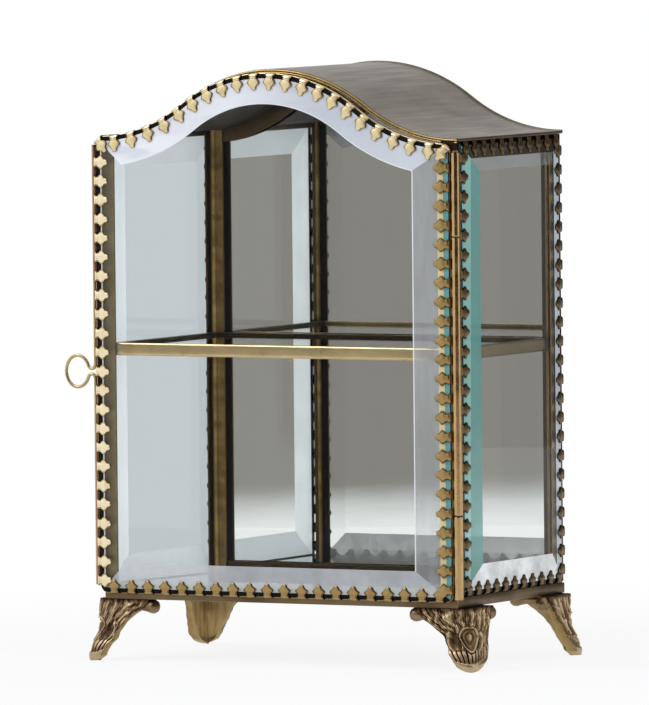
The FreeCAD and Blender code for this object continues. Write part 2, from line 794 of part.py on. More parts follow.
def handle():
    """A loop of wire with a narrow neck and two legs that lie along the door's edge."""
    x = places.handle_x
    y = places.handle_y
    neck = sizes.neck_radius
    loop = Vector(places.loop_x, y, places.handle_z)

    def neck_arc(side):
        """The bend from a leg into the loop, above it for side 1 and below it for side -1."""
        hub = Vector(x - neck, y, places.handle_z + side * places.neck_rise)
        start = Vector(x, y, hub.z)
        end = hub + (loop - hub).normalize() * neck
        middle = hub + ((end - hub).normalize() - Z_AXIS * side + X_AXIS).normalize() * neck
        return start, middle, end

    upper = neck_arc(1)
    lower = neck_arc(-1)
    path = Part.Wire([
        Part.makeLine(upper[0] + Z_AXIS * sizes.upper_leg, upper[0]),
        Part.Arc(*upper).toShape(),
        Part.Arc(upper[2], loop - X_AXIS * sizes.loop_radius, lower[2]).toShape(),
        Part.Arc(*reversed(lower)).toShape(),
        Part.makeLine(lower[0], lower[0] - Z_AXIS * sizes.lower_leg),
    ])
    tip = upper[0] + Z_AXIS * sizes.upper_leg
    section = Part.Wire([Part.makeCircle(sizes.handle_wire / 2, tip, Z_AXIS)])
    shaped("door_handle", path.makePipeShell([section], True, False))


def write_pieces():
    """Stop on any failed object or bad shape, then write one file for each piece."""
    doc.recompute()
    failed = [item.Label for item in doc.Objects if "Invalid" in item.State or "Error" in item.State]
    bad = []
    for piece in pieces:
        if piece.Shape.isNull() or not piece.Shape.isValid() or not piece.Shape.Solids:
            bad.append(piece.Label)
    if failed or bad:
        raise RuntimeError(f"failed objects: {failed}, bad shapes: {bad}")
    os.makedirs("parts", exist_ok=True)
    for piece in pieces:
        piece.Shape.exportStep(f"parts/{piece.Label}.step")


base_and_floor()
feet()
posts()
for hand, outward in (("left", -1), ("right", 1)):
    side_pane(f"{hand}_glass", outward)
    side_strips(hand, outward)
roof()
mirrored_back()
shelf()
hinge()
door()
write_pieces()
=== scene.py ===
"""Arched display case of bevelled glass and stamped brass on cast paw feet."""
import math

import bmesh
import bpy
import numpy as np
from mathutils import Matrix, Vector


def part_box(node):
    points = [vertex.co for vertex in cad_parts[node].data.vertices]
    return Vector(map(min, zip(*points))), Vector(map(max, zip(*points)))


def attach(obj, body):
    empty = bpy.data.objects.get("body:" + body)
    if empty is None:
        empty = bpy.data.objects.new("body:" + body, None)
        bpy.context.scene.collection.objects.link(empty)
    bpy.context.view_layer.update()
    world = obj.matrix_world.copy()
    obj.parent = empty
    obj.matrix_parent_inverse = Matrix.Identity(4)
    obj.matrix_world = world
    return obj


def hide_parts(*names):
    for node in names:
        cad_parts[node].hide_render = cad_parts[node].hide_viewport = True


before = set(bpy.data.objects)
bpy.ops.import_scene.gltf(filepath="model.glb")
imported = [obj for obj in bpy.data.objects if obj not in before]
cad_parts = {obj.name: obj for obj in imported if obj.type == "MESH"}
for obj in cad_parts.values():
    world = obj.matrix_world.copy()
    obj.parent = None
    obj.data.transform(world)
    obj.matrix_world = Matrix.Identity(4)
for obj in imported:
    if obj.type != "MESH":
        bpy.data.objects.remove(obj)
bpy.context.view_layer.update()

# Millimetres, about the middle of the case and up from the surface it stands on
MM = 0.001
FRONT = -51.0
BACK = 51.0
HALF = 85.0
BASE_LOW = 26.4
BASE_TOP = 30.9
BASE_HALF = 84.0
BASE_WALL = 6.0
BASE_SHEET = 1.0
DOOR_LOW = 28.9
DOOR_LEFT = -85.0
DOOR_RIGHT = 83.0
SHOULDER = 220.1
LEFT_SHOULDER = 222.1
DOOR_CROWN = (-3.7, 249.2)
ROOF_LOW = 221.3
ROOF_CROWN = (-2.0, 250.0)
PANE = 3.2
SHEET = 0.5
BEVEL = 12.5
HINGE_BEVEL = 16.5
BEVEL_DEPTH = 1.2
EDGE_FRONT = FRONT + BEVEL_DEPTH
EDGE = PANE - BEVEL_DEPTH
EDGE_OPEN = 0.8
SLOPE = BEVEL_DEPTH / BEVEL
TRIM_LIP = 1.6
CASE_FRONT = -46.9
SIDE_EDGE = HALF - BEVEL_DEPTH
SIDE_FRONT = -42.9
SIDE_INNER = 81.3
POST_OUTER = 83.6
POST_WIDTH = 6.0
POST_DEPTH = 4.0
POST_NARROW = 3.2
ROOF_SHEET = 0.8
BEAD = 1.6
BEAD_FLAT = 0.2
FIT_GAP = 0.15
MIRROR_FRONT = 46.5
MIRROR_BACK = 49.5
PLATE_BACK = 50.1
BACK_INNER = 46.0
MIRROR_LIP = 5.0
SHELF_LOW = 129.4
SHELF_TOP = 134.8
SHELF_HALF = 80.3
SHELF_FRONT = -45.9
SHELF_BACK = 45.0
SHELF_SHEET = 0.8
SHELF_FLANGE = 3.0
SHELF_CORNER = 2.2
SHELF_GLASS = 3.0
PETAL_PITCH = 8.07
PETAL_REACH = 6.6
LOW_REACH = 5.5
CORNER_ROUND = 3.6
LEFT_PROUD = 0.9
HINGE = (85.25, -48.5)
BARREL_LOW = 30.1
BARREL_TOP = 216.6
BARREL = 1.9
BORE = 0.85
PIN = 0.8
PIN_HEAD = 1.4
HEAD_CUT = 0.4
END_KNUCKLE = 35.0
KNUCKLE_GAP = 0.3
LEAF_DEPTH = 3.4
LEAF_SHEET = 0.8
LEAF_GAP = 0.02
LEAF_LAP = 0.3
HANDLE_X = -85.7
HANDLE_Y = -48.15
HANDLE_Z = 122.6
WIRE = 0.7
LOOP = 6.2
NECK = 2.0
NECK_RISE = 3.05
LOOP_SQUEEZE = 0.89
LOOP_STRETCH = 1.08
LEG_PROUD = 0.6
UPPER_LEG = 37.0
LOWER_LEG = 30.0
FOOT_HALF = 86.3
FOOT_FRONT = -44.1
FOOT_BACK = 48.2

roof_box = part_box("roof_sheet")
MIDDLE = np.array([
    (roof_box[0][0] + roof_box[1][0]) / 2,
    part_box("door_glass")[0][1] - FRONT * MM,
    0.0,
])
UP = np.array([0.0, 0.0, 1.0])
ACROSS = np.array([1.0, 0.0, 0.0])
DEEP = np.array([0.0, 1.0, 0.0])


def unit(vector):
    return np.asarray(vector, float) / np.linalg.norm(vector)


def smooth(low, high, value):
    share = np.clip((value - low) / (high - low), 0, 1)
    return share * share * (3 - 2 * share)


def circle(count, radius=1.0):
    turns = np.linspace(0, 2 * math.pi, count, endpoint=False)
    return radius * np.column_stack([np.cos(turns), np.sin(turns)])


def colour(red, green, blue):
    """A colour given as it looks on a screen, as the shader wants it."""
    def straight(level):
        level /= 255
        return level / 12.92 if level <= 0.04045 else ((level + 0.055) / 1.055) ** 2.4
    return straight(red), straight(green), straight(blue), 1.0


def linked(name, data):
    """An object of this data, in the scene."""
    thing = bpy.data.objects.new(name, data)
    bpy.context.scene.collection.objects.link(thing)
    return thing


# Finishes


class Wire:
    """An output socket of a node; arithmetic on it adds Math nodes to its tree."""

    def __init__(self, nodes, socket):
        self.nodes = nodes
        self.socket = socket

    def __getitem__(self, output):
        """Another output of the same node."""
        return Wire(self.nodes, self.socket.node.outputs[output])

    def math(self, operation, first, second=0.0):
        return self.nodes.add("ShaderNodeMath", {"operation": operation}, {0: first, 1: second})

    def __add__(self, other):
        return self.math("ADD", self, other)

    def __sub__(self, other):
        return self.math("SUBTRACT", self, other)

    def __rsub__(self, other):
        return self.math("SUBTRACT", other, self)

    def __mul__(self, other):
        return self.math("MULTIPLY", self, other)

    __radd__ = __add__
    __rmul__ = __mul__

    def most(self, other):
        return self.math("MAXIMUM", self, other)


class Nodes:
    """A tree of shader or geometry nodes."""

    def __init__(self, tree):
        self.tree = tree
        tree.nodes.clear()

    def add(self, kind, settings=None, sockets=None, output=0):
        """A node of this kind: its settings first, then the values or links of its sockets."""
        node = self.tree.nodes.new(kind)
        for key, value in (settings or {}).items():
            setattr(node, key, value)
        for key, value in (sockets or {}).items():
            if isinstance(value, Wire):
                self.tree.links.new(value.socket, node.inputs[key])
            else:
                node.inputs[key].default_value = value
        return Wire(self, node.outputs[output]) if node.outputs else None

    def mix(self, share, first, second):
        return self.add("ShaderNodeMixShader", None, {0: share, 1: first, 2: second})

    def seen(self):
        """1 for the rays that meet plain white behind the case, and 0 for those that light it."""
        path = self.add("ShaderNodeLightPath")
        return path["Is Camera Ray"].most(path["Is Glossy Ray"]).most(path["Is Transmission Ray"])


EVEN = (1.0, 1.0, 1.0)
NOISE_ROUGH = 0.55


class Finish(Nodes):
    """A material built from nodes."""

    def __init__(self, name):
        self.material = bpy.data.materials.new(name)
        self.material.use_nodes = True
        super().__init__(self.material.node_tree)

    def place(self):
        return self.add("ShaderNodeTexCoord", output="Object")

    def noise(self, scale, detail=3.0, stretch=EVEN):
        where = self.add("ShaderNodeMapping", None, {"Vector": self.place(), "Scale": stretch})
        return self.add("ShaderNodeTexNoise", None,
                        {"Vector": where, "Scale": scale, "Detail": detail, "Roughness": NOISE_ROUGH})

    def attribute(self, name, output="Fac"):
        return self.add("ShaderNodeAttribute", {"attribute_name": name}, None, output)

    def parts(self, vector):
        """The three numbers of a vector, as outputs 0 to 2."""
        return self.add("ShaderNodeSeparateXYZ", None, {0: vector})

    def steps(self, value, low, high, to_low=0.0, to_high=1.0):
        """Map a value from one span to another, held at both ends."""
        return self.add("ShaderNodeMapRange", {"interpolation_type": "SMOOTHSTEP"},
                        {0: value, 1: low, 2: high, 3: to_low, 4: to_high})

    def blend(self, share, first, second):
        return self.add("ShaderNodeMix", {"data_type": "RGBA"}, {0: share, 6: first, 7: second}, 2)

    def bump(self, height, strength, distance):
        return self.add("ShaderNodeBump", None,
                        {"Strength": strength, "Distance": distance, "Height": height})

    def principled(self, **sockets):
        named = {name.replace("_", " "): value for name, value in sockets.items()}
        return self.add("ShaderNodeBsdfPrincipled", None, named)

    def done(self, shader):
        self.add("ShaderNodeOutputMaterial", None, {"Surface": shader})
        return self.material

    def plain(self, **sockets):
        return self.done(self.principled(**sockets))


GRAIN_DEPTH = 0.0002


def metal(finish, tones, wear_and_light, deep, roughness, height, strength, metallic=1.0):
    """Metal that is light where it is worn and where light is painted, dark in recesses and where shade is
    painted, and finely uneven.
    """
    light, mid, dark = [colour(*tone) for tone in tones]
    base = finish.blend(deep, dark, finish.blend(wear_and_light, mid, light))
    normal = finish.bump(height, strength, GRAIN_DEPTH)
    return finish.plain(Base_Color=base, Metallic=metallic, Roughness=roughness, Normal=normal)


def brass(name, light, mid, dark, rough=0.34, fine=900.0, metallic=1.0):
    """Brass that is bright on the high points (relief 1) and dark in the recesses (relief 0); on some pieces
    the relief also carries painted light and shade.
    """
    finish = Finish(name)
    relief = finish.attribute("relief")
    cloud = finish.noise(160.0, 4.0)
    grain = finish.noise(fine)
    wear_and_light = finish.steps(relief + (cloud - 0.5) * 0.55, 0.45, 1.05)
    deep = finish.steps(relief + (grain - 0.5) * 0.25, 0.0, 0.42)
    roughness = rough + (cloud - 0.5) * 0.25 + (1 - deep) * 0.2
    height = grain * 0.6 + cloud * 0.4
    return metal(finish, (light, mid, dark), wear_and_light, deep, roughness, height, 0.12, metallic)


# Turn of the sine that gives the ribs on a petal's neck, one in each 0.75 mm
RIB_TURN = 2 * math.pi / 0.75


def stamped(name, light, mid, dark, rough=0.3):
    """Stamped strip: the leaf attribute carries a petal's own x and y, for the ribs on its neck."""
    finish = Finish(name)
    relief = finish.attribute("relief")
    leaf = finish.parts(finish.attribute("leaf", "Vector"))
    along = leaf[1]
    dots = finish.steps(leaf.math("SINE", leaf[0] * RIB_TURN), -0.3, 0.5)
    rows = finish.steps(along, 0.5, 0.75) * finish.steps(along, 1.3, 1.05)
    rows = rows + finish.steps(along, 1.35, 1.55) * finish.steps(along, 2.1, 1.85)
    grooves = rows * (1 - dots)
    cloud = finish.noise(210.0, 4.0)
    grain = finish.noise(1500.0)
    wear_and_light = finish.steps(relief + (cloud - 0.5) * 0.95, 0.35, 1.0)
    deep = finish.steps(relief - grooves * 0.75 + (grain - 0.5) * 0.2, 0.0, 0.4)
    roughness = rough + (cloud - 0.5) * 0.22 + (1 - deep) * 0.25
    height = grain * 0.4 + cloud * 0.3 - grooves * 0.8
    return metal(finish, (light, mid, dark), wear_and_light, deep, roughness, height, 0.25)


# Lower than real glass, about 1.5, so that the panes reflect less of the white surroundings
GLASS_IOR = 1.16
PANE_TINT = (0.985, 0.995, 0.99, 1.0)
BEVEL_TINT = (0.97, 0.99, 0.985, 1.0)
TEAL_TINT = (0.6, 0.85, 0.8, 1.0)


def clear_glass(name):
    finish = Finish(name)
    streak = finish.noise(60.0, 2.0, (1.0, 1.0, 0.25))
    normal = finish.bump(streak, 0.006, 0.0004)
    return finish.plain(
        Base_Color=PANE_TINT, Roughness=0.0, IOR=GLASS_IOR, Transmission_Weight=1.0, Normal=normal)


def painted_light_glass(finish, share, painted_tone, glow, gloss=0.5, tint=BEVEL_TINT):
    """Glass painted over this share with painted light: the room's reflection on most bevels and shade at the
    rims; glow is painted glow that stands in for light carried inside the pane.
    """
    clear = finish.principled(Base_Color=tint, Roughness=0.02, IOR=GLASS_IOR, Transmission_Weight=1.0)
    pale = finish.principled(Base_Color=painted_tone, Roughness=0.12, Specular_IOR_Level=gloss,
                             Emission_Color=painted_tone, Emission_Strength=glow)
    return finish.done(finish.mix(share, clear, pale))


def painted_light_bevel(name, share, painted_tone, streak, glow=0.0, gloss=0.5, tint=BEVEL_TINT, stretch=EVEN):
    """A bevel painted with one tone of painted light, over a share that wanders by streak."""
    finish = Finish(name)
    cloud = finish.noise(70.0, stretch=stretch)
    factor = finish.steps(cloud, 0.2, 0.8, max(share - streak, 0.0), min(share + streak, 1.0))
    return painted_light_glass(finish, factor, colour(*painted_tone), glow, gloss, tint)


def arch_painted_reflection(name):
    """The broad bevel under the arch, painted with a reflection of the bright room: near white on the left
    and greyer to the right, with soft streaks.
    """
    finish = Finish(name)
    across = finish.parts(finish.place())
    cloud = finish.noise(26.0)
    streak = finish.noise(60.0, 2.0, (0.5, 1.0, 2.2))
    rightward = finish.steps(across + (cloud - 0.5) * 0.05, -0.02, 0.03)
    painted_tone = finish.blend(rightward, colour(238, 240, 246), colour(208, 213, 222))
    painted_tone = finish.blend(finish.steps(streak, 0.52, 0.66) * 0.55, painted_tone, colour(196, 205, 219))
    return painted_light_glass(finish, finish.steps(cloud, 0.2, 0.8, 0.8, 0.97), painted_tone, 0.06)


def silver(name, base, rough):
    finish = Finish(name)
    cloud = finish.noise(45.0, 4.0)
    speck = finish.noise(700.0, 2.0)
    spots = finish.steps(speck, 0.72, 0.8) * finish.steps(cloud, 0.5, 0.7)
    tone = finish.blend(spots * 0.5, base, (0.25, 0.24, 0.22, 1.0))
    roughness = finish.steps(cloud, 0.35, 0.75, rough, rough + 0.012)
    return finish.plain(Base_Color=tone, Metallic=1.0, Roughness=roughness)


def shaded_roof_underside(name):
    """The inside of the roof, darkened as painted shade, with drawn gold streaks from front to back."""
    finish = Finish(name)
    cloud = finish.noise(34.0, 4.0)
    streak = finish.noise(300.0, 2.0, (1.0, 0.12, 1.0))
    shine = finish.steps(streak * 0.7 + cloud * 0.4, 0.58, 0.78)
    tone = finish.blend(shine, colour(48, 37, 27), colour(132, 102, 60))
    roughness = finish.steps(cloud, 0.3, 0.7, 0.6, 0.45)
    normal = finish.bump(streak, 0.1, 0.0004)
    return finish.plain(
        Base_Color=tone, Metallic=shine * 0.7, Roughness=roughness, Specular_IOR_Level=0.15, Normal=normal)


def sheet_bronze(name, light, dark, rough, stretch):
    """Rolled sheet, satin, with faint drawn lines and a cloudy patina."""
    finish = Finish(name)
    cloud = finish.noise(28.0, 4.0)
    lines = finish.noise(420.0, 2.0, stretch)
    patina = finish.steps(cloud * 0.7 + lines * 0.3, 0.34, 0.66)
    tone = finish.blend(patina, colour(*dark), colour(*light))
    normal = finish.bump(lines * 0.5 + cloud, 0.05, 0.0003)
    roughness = finish.steps(lines, 0.3, 0.7, rough - 0.05, rough + 0.07)
    return finish.plain(Base_Color=tone, Metallic=0.85, Roughness=roughness, Normal=normal)


# Copies of one stamped brass with painted light and shade: lighter for the door's top and left strips, darker
# for its right and bottom strips, darkest for the sides and back. High points, middle and recesses, then
# roughness
STRIPS = {
    "gilt_strip": ((226, 208, 164), (150, 124, 78), (28, 20, 12)),
    "cream_strip": ((240, 226, 192), (176, 150, 104), (30, 22, 13)),
    "deep_strip": ((164, 138, 90), (100, 79, 46), (24, 17, 10)),
    "aged_strip": ((116, 97, 66), (70, 57, 38), (22, 18, 13), 0.36),
}
# The same, then how fine the grain is, and how metallic
BRASSES = {
    "copper_rail": ((206, 172, 146), (150, 108, 84), (60, 40, 30)),
    "cast_paw": ((194, 172, 138), (108, 86, 62), (32, 23, 16), 0.36, 1300.0),
    "cast_back": ((190, 168, 120), (150, 126, 82), (84, 64, 38), 0.55, 1500.0),
    "post_solder": ((186, 156, 98), (104, 82, 50), (24, 19, 14), 0.42, 900.0),
    "post_olive": ((208, 182, 116), (134, 112, 70), (64, 54, 38), 0.5, 500.0, 0.35),
    # Lit and shaded copies of the channel's brass, as painted light and shade
    "shelf_channel": ((226, 204, 158), (184, 158, 112), (58, 46, 32), 0.32, 700.0),
    "dark_channel": ((120, 104, 76), (74, 62, 44), (26, 20, 14), 0.4, 700.0),
    "hinge_barrel": ((198, 166, 118), (122, 93, 58), (40, 29, 20), 0.16, 700.0),
    "roof_bead": ((184, 160, 112), (126, 105, 68), (50, 39, 25), 0.26, 700.0),
    "handle_wire": ((196, 176, 128), (128, 108, 66), (54, 43, 26), 0.26, 700.0),
}
# Light and dark patina, roughness, and the way the lines are drawn
SHEETS = {
    "roof_bronze": ((106, 97, 82), (84, 75, 61), 0.38, (1.0, 0.06, 1.0)),
    "base_bronze": ((122, 104, 76), (84, 68, 46), 0.4, (0.06, 0.06, 1.0)),
    "back_bronze": ((136, 124, 106), (104, 92, 76), 0.42, (1.0, 1.0, 0.06)),
}
# Painted light on the bevels: the room's reflections, refractions of the case, and shade by the rims. Share
# that is painted, its tone, how far the share wanders, glow, gloss, tint of the glass, stretch
BEVELS = {
    # Painted highlight line along the edge of the flat face
    "bevel_line": (0.9, (244, 245, 250), 0.1),
    # Painted reflections of the room
    "hinge_bevel": (0.5, (178, 182, 184), 0.25, 0.0, 0.5, BEVEL_TINT, (1.0, 1.0, 0.2)),
    "low_bevel": (0.7, (206, 210, 214), 0.1),
    "low_grey": (0.84, (180, 184, 184), 0.12, 0.2),
    "left_bevel": (0.06, (186, 194, 200), 0.03),
    "pale_bevel": (0.95, (203, 210, 215), 0.04, 0.62),
    "top_bevel": (0.3, (176, 186, 190), 0.15),
    "back_bevel": (0.8, (222, 228, 234), 0.15),
    "foot_bevel": (0.7, (240, 243, 243), 0.3, 0.2),
    "front_bevel": (0.92, (232, 238, 243), 0.08, 0.6),
    # Painted refraction of the pane's green edge
    "teal_deep": (0.85, (112, 166, 160), 0.08, 0.0, 0.5, TEAL_TINT),
    "teal_light": (0.85, (152, 202, 192), 0.08, 0.0, 0.5, TEAL_TINT),
    # Painted shade behind the petals
    "rim_olive": (0.93, (56, 52, 42), 0.06, 0.0, 0.2),
    # Dark foil and flux at the rim, with painted shade under the petals
    "rim_dark": (0.97, (9, 8, 7), 0.03, 0.0, 0.1),
    # Painted shade seen through the pane's green edge
    "rim_sea": (0.94, (38, 58, 56), 0.06, 0.0, 0.2),
    # Painted refraction of the pane's green edge
    "rim_teal": (0.92, (96, 158, 158), 0.08),
    # Painted refraction of the brass rail
    "rim_cream": (0.92, (226, 206, 150), 0.08),
}
FINISHES = {
    "clear_glass": clear_glass("clear_glass"),
    "arch_bevel": arch_painted_reflection("arch_bevel"),
    "roof_inside": shaded_roof_underside("roof_inside"),
    "mirror_silver": silver("mirror_silver", (0.86, 0.87, 0.86, 1.0), 0.0),
    "floor_silver": silver("floor_silver", (0.84, 0.85, 0.85, 1.0), 0.01),
}
for make, table in ((stamped, STRIPS), (brass, BRASSES), (sheet_bronze, SHEETS), (painted_light_bevel, BEVELS)):
    for finish_name, row in table.items():
        FINISHES[finish_name] = make(finish_name, *row)


# Meshes


def quads(rows, columns, around=False, along=False):
    """Faces of a grid of points, row by row; around closes each row, along joins the last to the first."""
    faces = []
    for row in range(rows if along else rows - 1):
        low = row * columns
        high = (row + 1) % rows * columns
        for column in range(columns if around else columns - 1):
            beside = (column + 1) % columns
            faces.append([low + column, low + beside, high + beside, high + column])
    return faces


class Shape:
    """Points and faces of one piece, in millimetres, with the finish of each face."""

    def __init__(self):
        self.points = []
        self.faces = []
        self.paints = []
        self.relief = []
        self.leaf = []
        self.finishes = []

    def add(self, points, faces, finish, relief=0.8, leaf=None):
        """finish is one name, or one for each face, and relief is repeated over the points."""
        first = len(self.points)
        self.points.extend(np.asarray(points, float).tolist())
        self.faces.extend([[first + corner for corner in face] for face in faces])
        for name in [finish] * len(faces) if isinstance(finish, str) else finish:
            if name not in self.finishes:
                self.finishes.append(name)
            self.paints.append(self.finishes.index(name))
        self.relief.extend(np.resize(relief, len(points)).tolist())
        self.leaf.extend((np.zeros((len(points), 3)) if leaf is None else leaf).tolist())

    def take(self, mesh, finish):
        """Add a finished mesh that is already in metres and in place."""
        count = len(mesh.vertices)
        points = np.empty(count * 3)
        mesh.vertices.foreach_get("co", points)
        relief = np.empty(count)
        mesh.attributes["relief"].data.foreach_get("value", relief)
        leaf = np.empty(count * 3)
        mesh.attributes["leaf"].data.foreach_get("vector", leaf)
        points = (points.reshape(-1, 3) - MIDDLE) / MM
        faces = [list(polygon.vertices) for polygon in mesh.polygons]
        self.add(points, faces, finish, relief, leaf.reshape(-1, 3))

    def tube(self, rings, finish, relief=0.8, loop=False, cap=None):
        """Join rings of points into a solid that is closed at its ends or bent round into a loop.

        finish is one name, or one for each side of a ring, or one for each side of every ring.
        """
        rings = np.asarray(rings, float)
        rows, size, _ = rings.shape
        sides = [finish] if isinstance(finish, str) else finish
        faces = quads(rows, size, True, loop)
        names = [sides[index % len(sides)] for index in range(len(faces))]
        if not loop:
            faces = [list(range(size))[::-1], list(range((rows - 1) * size, rows * size))] + faces
            names = [cap or sides[0]] * 2 + names
        self.add(rings.reshape(-1, 3), faces, names, relief)

    def sweep(self, section, stations, finish, relief=0.8, loop=False):
        """Carry a closed section of (a, b) along stations of (point, a axis, b axis)."""
        section = np.asarray(section, float)
        rings = [np.asarray(spot) + np.outer(section[:, 0], first) + np.outer(section[:, 1], second)
                 for spot, first, second in stations]
        self.tube(rings, finish, relief, loop)

    def slab(self, low, high, finish, soften=0.3, relief=0.8):
        """A block with its edges softened by a small flat."""
        low = np.asarray(low, float)
        high = np.asarray(high, float)
        cut = min(soften, 0.4 * (high - low).min())
        rings = []
        for z, inset in ((low[2], cut), (low[2] + cut, 0.0), (high[2] - cut, 0.0), (high[2], cut)):
            left, near = low[:2] + inset
            right, far = high[:2] - inset
            rings.append([(left, near + cut, z), (left + cut, near, z),
                          (right - cut, near, z), (right, near + cut, z),
                          (right, far - cut, z), (right - cut, far, z),
                          (left + cut, far, z), (left, far - cut, z)])
        self.tube(rings, finish, relief)

    def lathe(self, x, y, profile, finish, relief=0.8, segments=28):
        """Turn a profile of (radius, z) about an upright axis."""
        stations = [((x, y, 0.0), (*away, 0.0), UP) for away in circle(segments)]
        self.sweep(profile, stations, finish, relief, True)

    def turn(self, degrees, x, y, z):
        """Turn all of it about the upright axis, then move it."""
        cos = math.cos(math.radians(degrees))
        sin = math.sin(math.radians(degrees))
        spin = np.array([(cos, sin, 0.0), (-sin, cos, 0.0), (0.0, 0.0, 1.0)])
        self.points = (np.asarray(self.points) @ spin + (x, y, z)).tolist()

    def mesh(self, name, origin):
        mesh = bpy.data.meshes.new(name)
        mesh.from_pydata((np.asarray(self.points) * MM + origin).tolist(), [], self.faces)
        relief = mesh.attributes.new("relief", "FLOAT", "POINT")
        relief.data.foreach_set("value", np.asarray(self.relief))
        leaf = mesh.attributes.new("leaf", "FLOAT_VECTOR", "POINT")
        leaf.data.foreach_set("vector", np.asarray(self.leaf).ravel())
        return mesh


# Angles in degrees above which an edge shows as a crease
CREASE = 35.0
GLASS_CREASE = 2.0
PLATE_CREASE = 20.0
FOLD_CREASE = 50.0
CAST_CREASE = 60.0


def piece(name, shape, body, crease=CREASE, stands_in=True):
    """Make the object of a shape, hide the part of model.glb that it stands in for, and hang it on the body
    that it moves with.
    """
    mesh = shape.mesh(name, MIDDLE)
    for finish in shape.finishes:
        mesh.materials.append(FINISHES[finish])
    mesh.polygons.foreach_set("material_index", shape.paints)
    rounded = bmesh.new()
    rounded.from_mesh(mesh)
    bmesh.ops.recalc_face_normals(rounded, faces=rounded.faces)
    rounded.to_mesh(mesh)
    rounded.free()
    mesh.shade_smooth()
    mesh.set_sharp_from_angle(angle=math.radians(crease))
    thing = linked(name, mesh)
    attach(thing, body)
    if stands_in:
        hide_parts(name)


# Ogee arch


def flank_line(shoulder, crown, inset, step, fine):
    """Points and inward directions of one side of an ogee, from its shoulder to its crown.

    The side is two equal arcs that are level at both ends, and step is where it starts, in from its end.
    """
    run = crown[0] - shoulder[0]
    rise = crown[1] - shoulder[1]
    side = math.copysign(1.0, run)
    radius = (run**2 + rise**2) / (4 * rise)
    lean = math.atan2(abs(run), 2 * radius - rise)
    hollow = np.linspace(math.asin(step / (radius + inset)), lean, fine, endpoint=False)
    points = []
    inward = []
    for end, sign, turns in ((shoulder, 1, hollow), (crown, -1, np.linspace(lean, 0.0, fine))):
        swing = radius + sign * inset
        for turn in turns:
            points.append((end[0] + sign * side * swing * math.sin(turn),
                           end[1] + sign * (radius - swing * math.cos(turn))))
            inward.append((side * math.sin(turn), -math.cos(turn)))
    return points, inward


def arch_line(left, right, crown, inset, left_inset, right_inset, fine=16):
    """Points (x, z) and inward directions along an ogee, from its left end to its right end."""
    points, inward = flank_line(left, crown, inset, left_inset, fine)
    far_points, far_inward = flank_line(right, crown, inset, right_inset, fine)
    return np.array(points + far_points[-2::-1]), np.array(inward + far_inward[-2::-1])


CORNER_POINTS = 5
CORNER_LEAST = 0.3
CORNER_FADE = 0.9


def corner_arc(hub, radius, start, end):
    """Points and inward directions round a corner, between two angles in degrees."""
    turns = np.radians(np.linspace(start, end, CORNER_POINTS))
    away = np.column_stack([np.cos(turns), np.sin(turns)])
    return np.asarray(hub) + radius * away, -away


def joined(*lines):
    """Lines of (points, inward directions) end to end."""
    return tuple(np.concatenate(part) for part in zip(*lines))


def corner_bend(inset):
    """The radius of the door's corners, which dies out away from the rim."""
    return max(CORNER_ROUND - CORNER_FADE * inset, CORNER_LEAST)


def door_line(inset, left_inset, right_inset):
    """The top of the door, with its two corners rounded off."""
    bend = corner_bend(inset)
    points, inward = arch_line((DOOR_LEFT, LEFT_SHOULDER), (DOOR_RIGHT, SHOULDER), DOOR_CROWN, inset,
                               left_inset + bend, right_inset + bend)
    left = corner_arc(points[0] - (0.0, bend), bend, 180, 100)
    right = corner_arc(points[-1] - (0.0, bend), bend, 80, 0)
    return joined(left, (points, inward), right)


def door_foot(inset, left_inset, right_inset):
    """The foot of the door from its right side to its left, with the same rounded corners."""
    bend = corner_bend(inset)
    low = DOOR_LOW + inset + bend
    return joined(corner_arc((DOOR_RIGHT - right_inset - bend, low), bend, 0, -90),
                  corner_arc((DOOR_LEFT + left_inset + bend, low), bend, -90, -180))


def roof_line(inset=0.0, side_inset=0.0):
    return arch_line((-HALF, ROOF_LOW), (HALF, ROOF_LOW), ROOF_CROWN, inset, side_inset, side_inset)


def back_line(inset, side_inset):
    return roof_line(FIT_GAP + inset, HALF - SIDE_INNER + side_inset)


def lifted(points, y):
    return np.column_stack([points[:, 0], np.broadcast_to(y, (len(points),)), points[:, 1]])


# Gallery strip

# A petal as (place along it as a share of its reach, half width), from the fold over the edge to its tip
PETAL_OUTLINE = (
    (0.03, 2.15), (0.13, 1.78), (0.26, 1.84), (0.38, 2.52), (0.48, 2.94), (0.56, 2.90),
    (0.65, 2.25), (0.73, 1.52), (0.82, 1.24), (0.91, 1.14), (0.97, 0.82), (1.00, 0.34),
)
PETAL_COLUMNS = (-1.0, -0.62, 0.62, 1.0)
PETAL_HEIGHTS = (0.62, 0.92, 0.92, 0.62)
# Relief across a petal is low at its edges and lower still under it, which darkens its edges, underside and
# side walls as painted shade
PETAL_RELIEF = (0.2, 0.95, 0.95, 0.2)
TIP_RELIEF = 0.35
UNDER_SHADE = -0.6
UNDERCUT = 0.97
PETAL_FLOAT = 0.02
CROOKEDNESS = 0.05
# The fold: how far out of the pane's edge, half width, height over the edge, and how bright it is
PETAL_FOLD = ((-0.44, 2.35, -0.86, 0.45), (-0.5, 2.2, -0.12, 0.8))


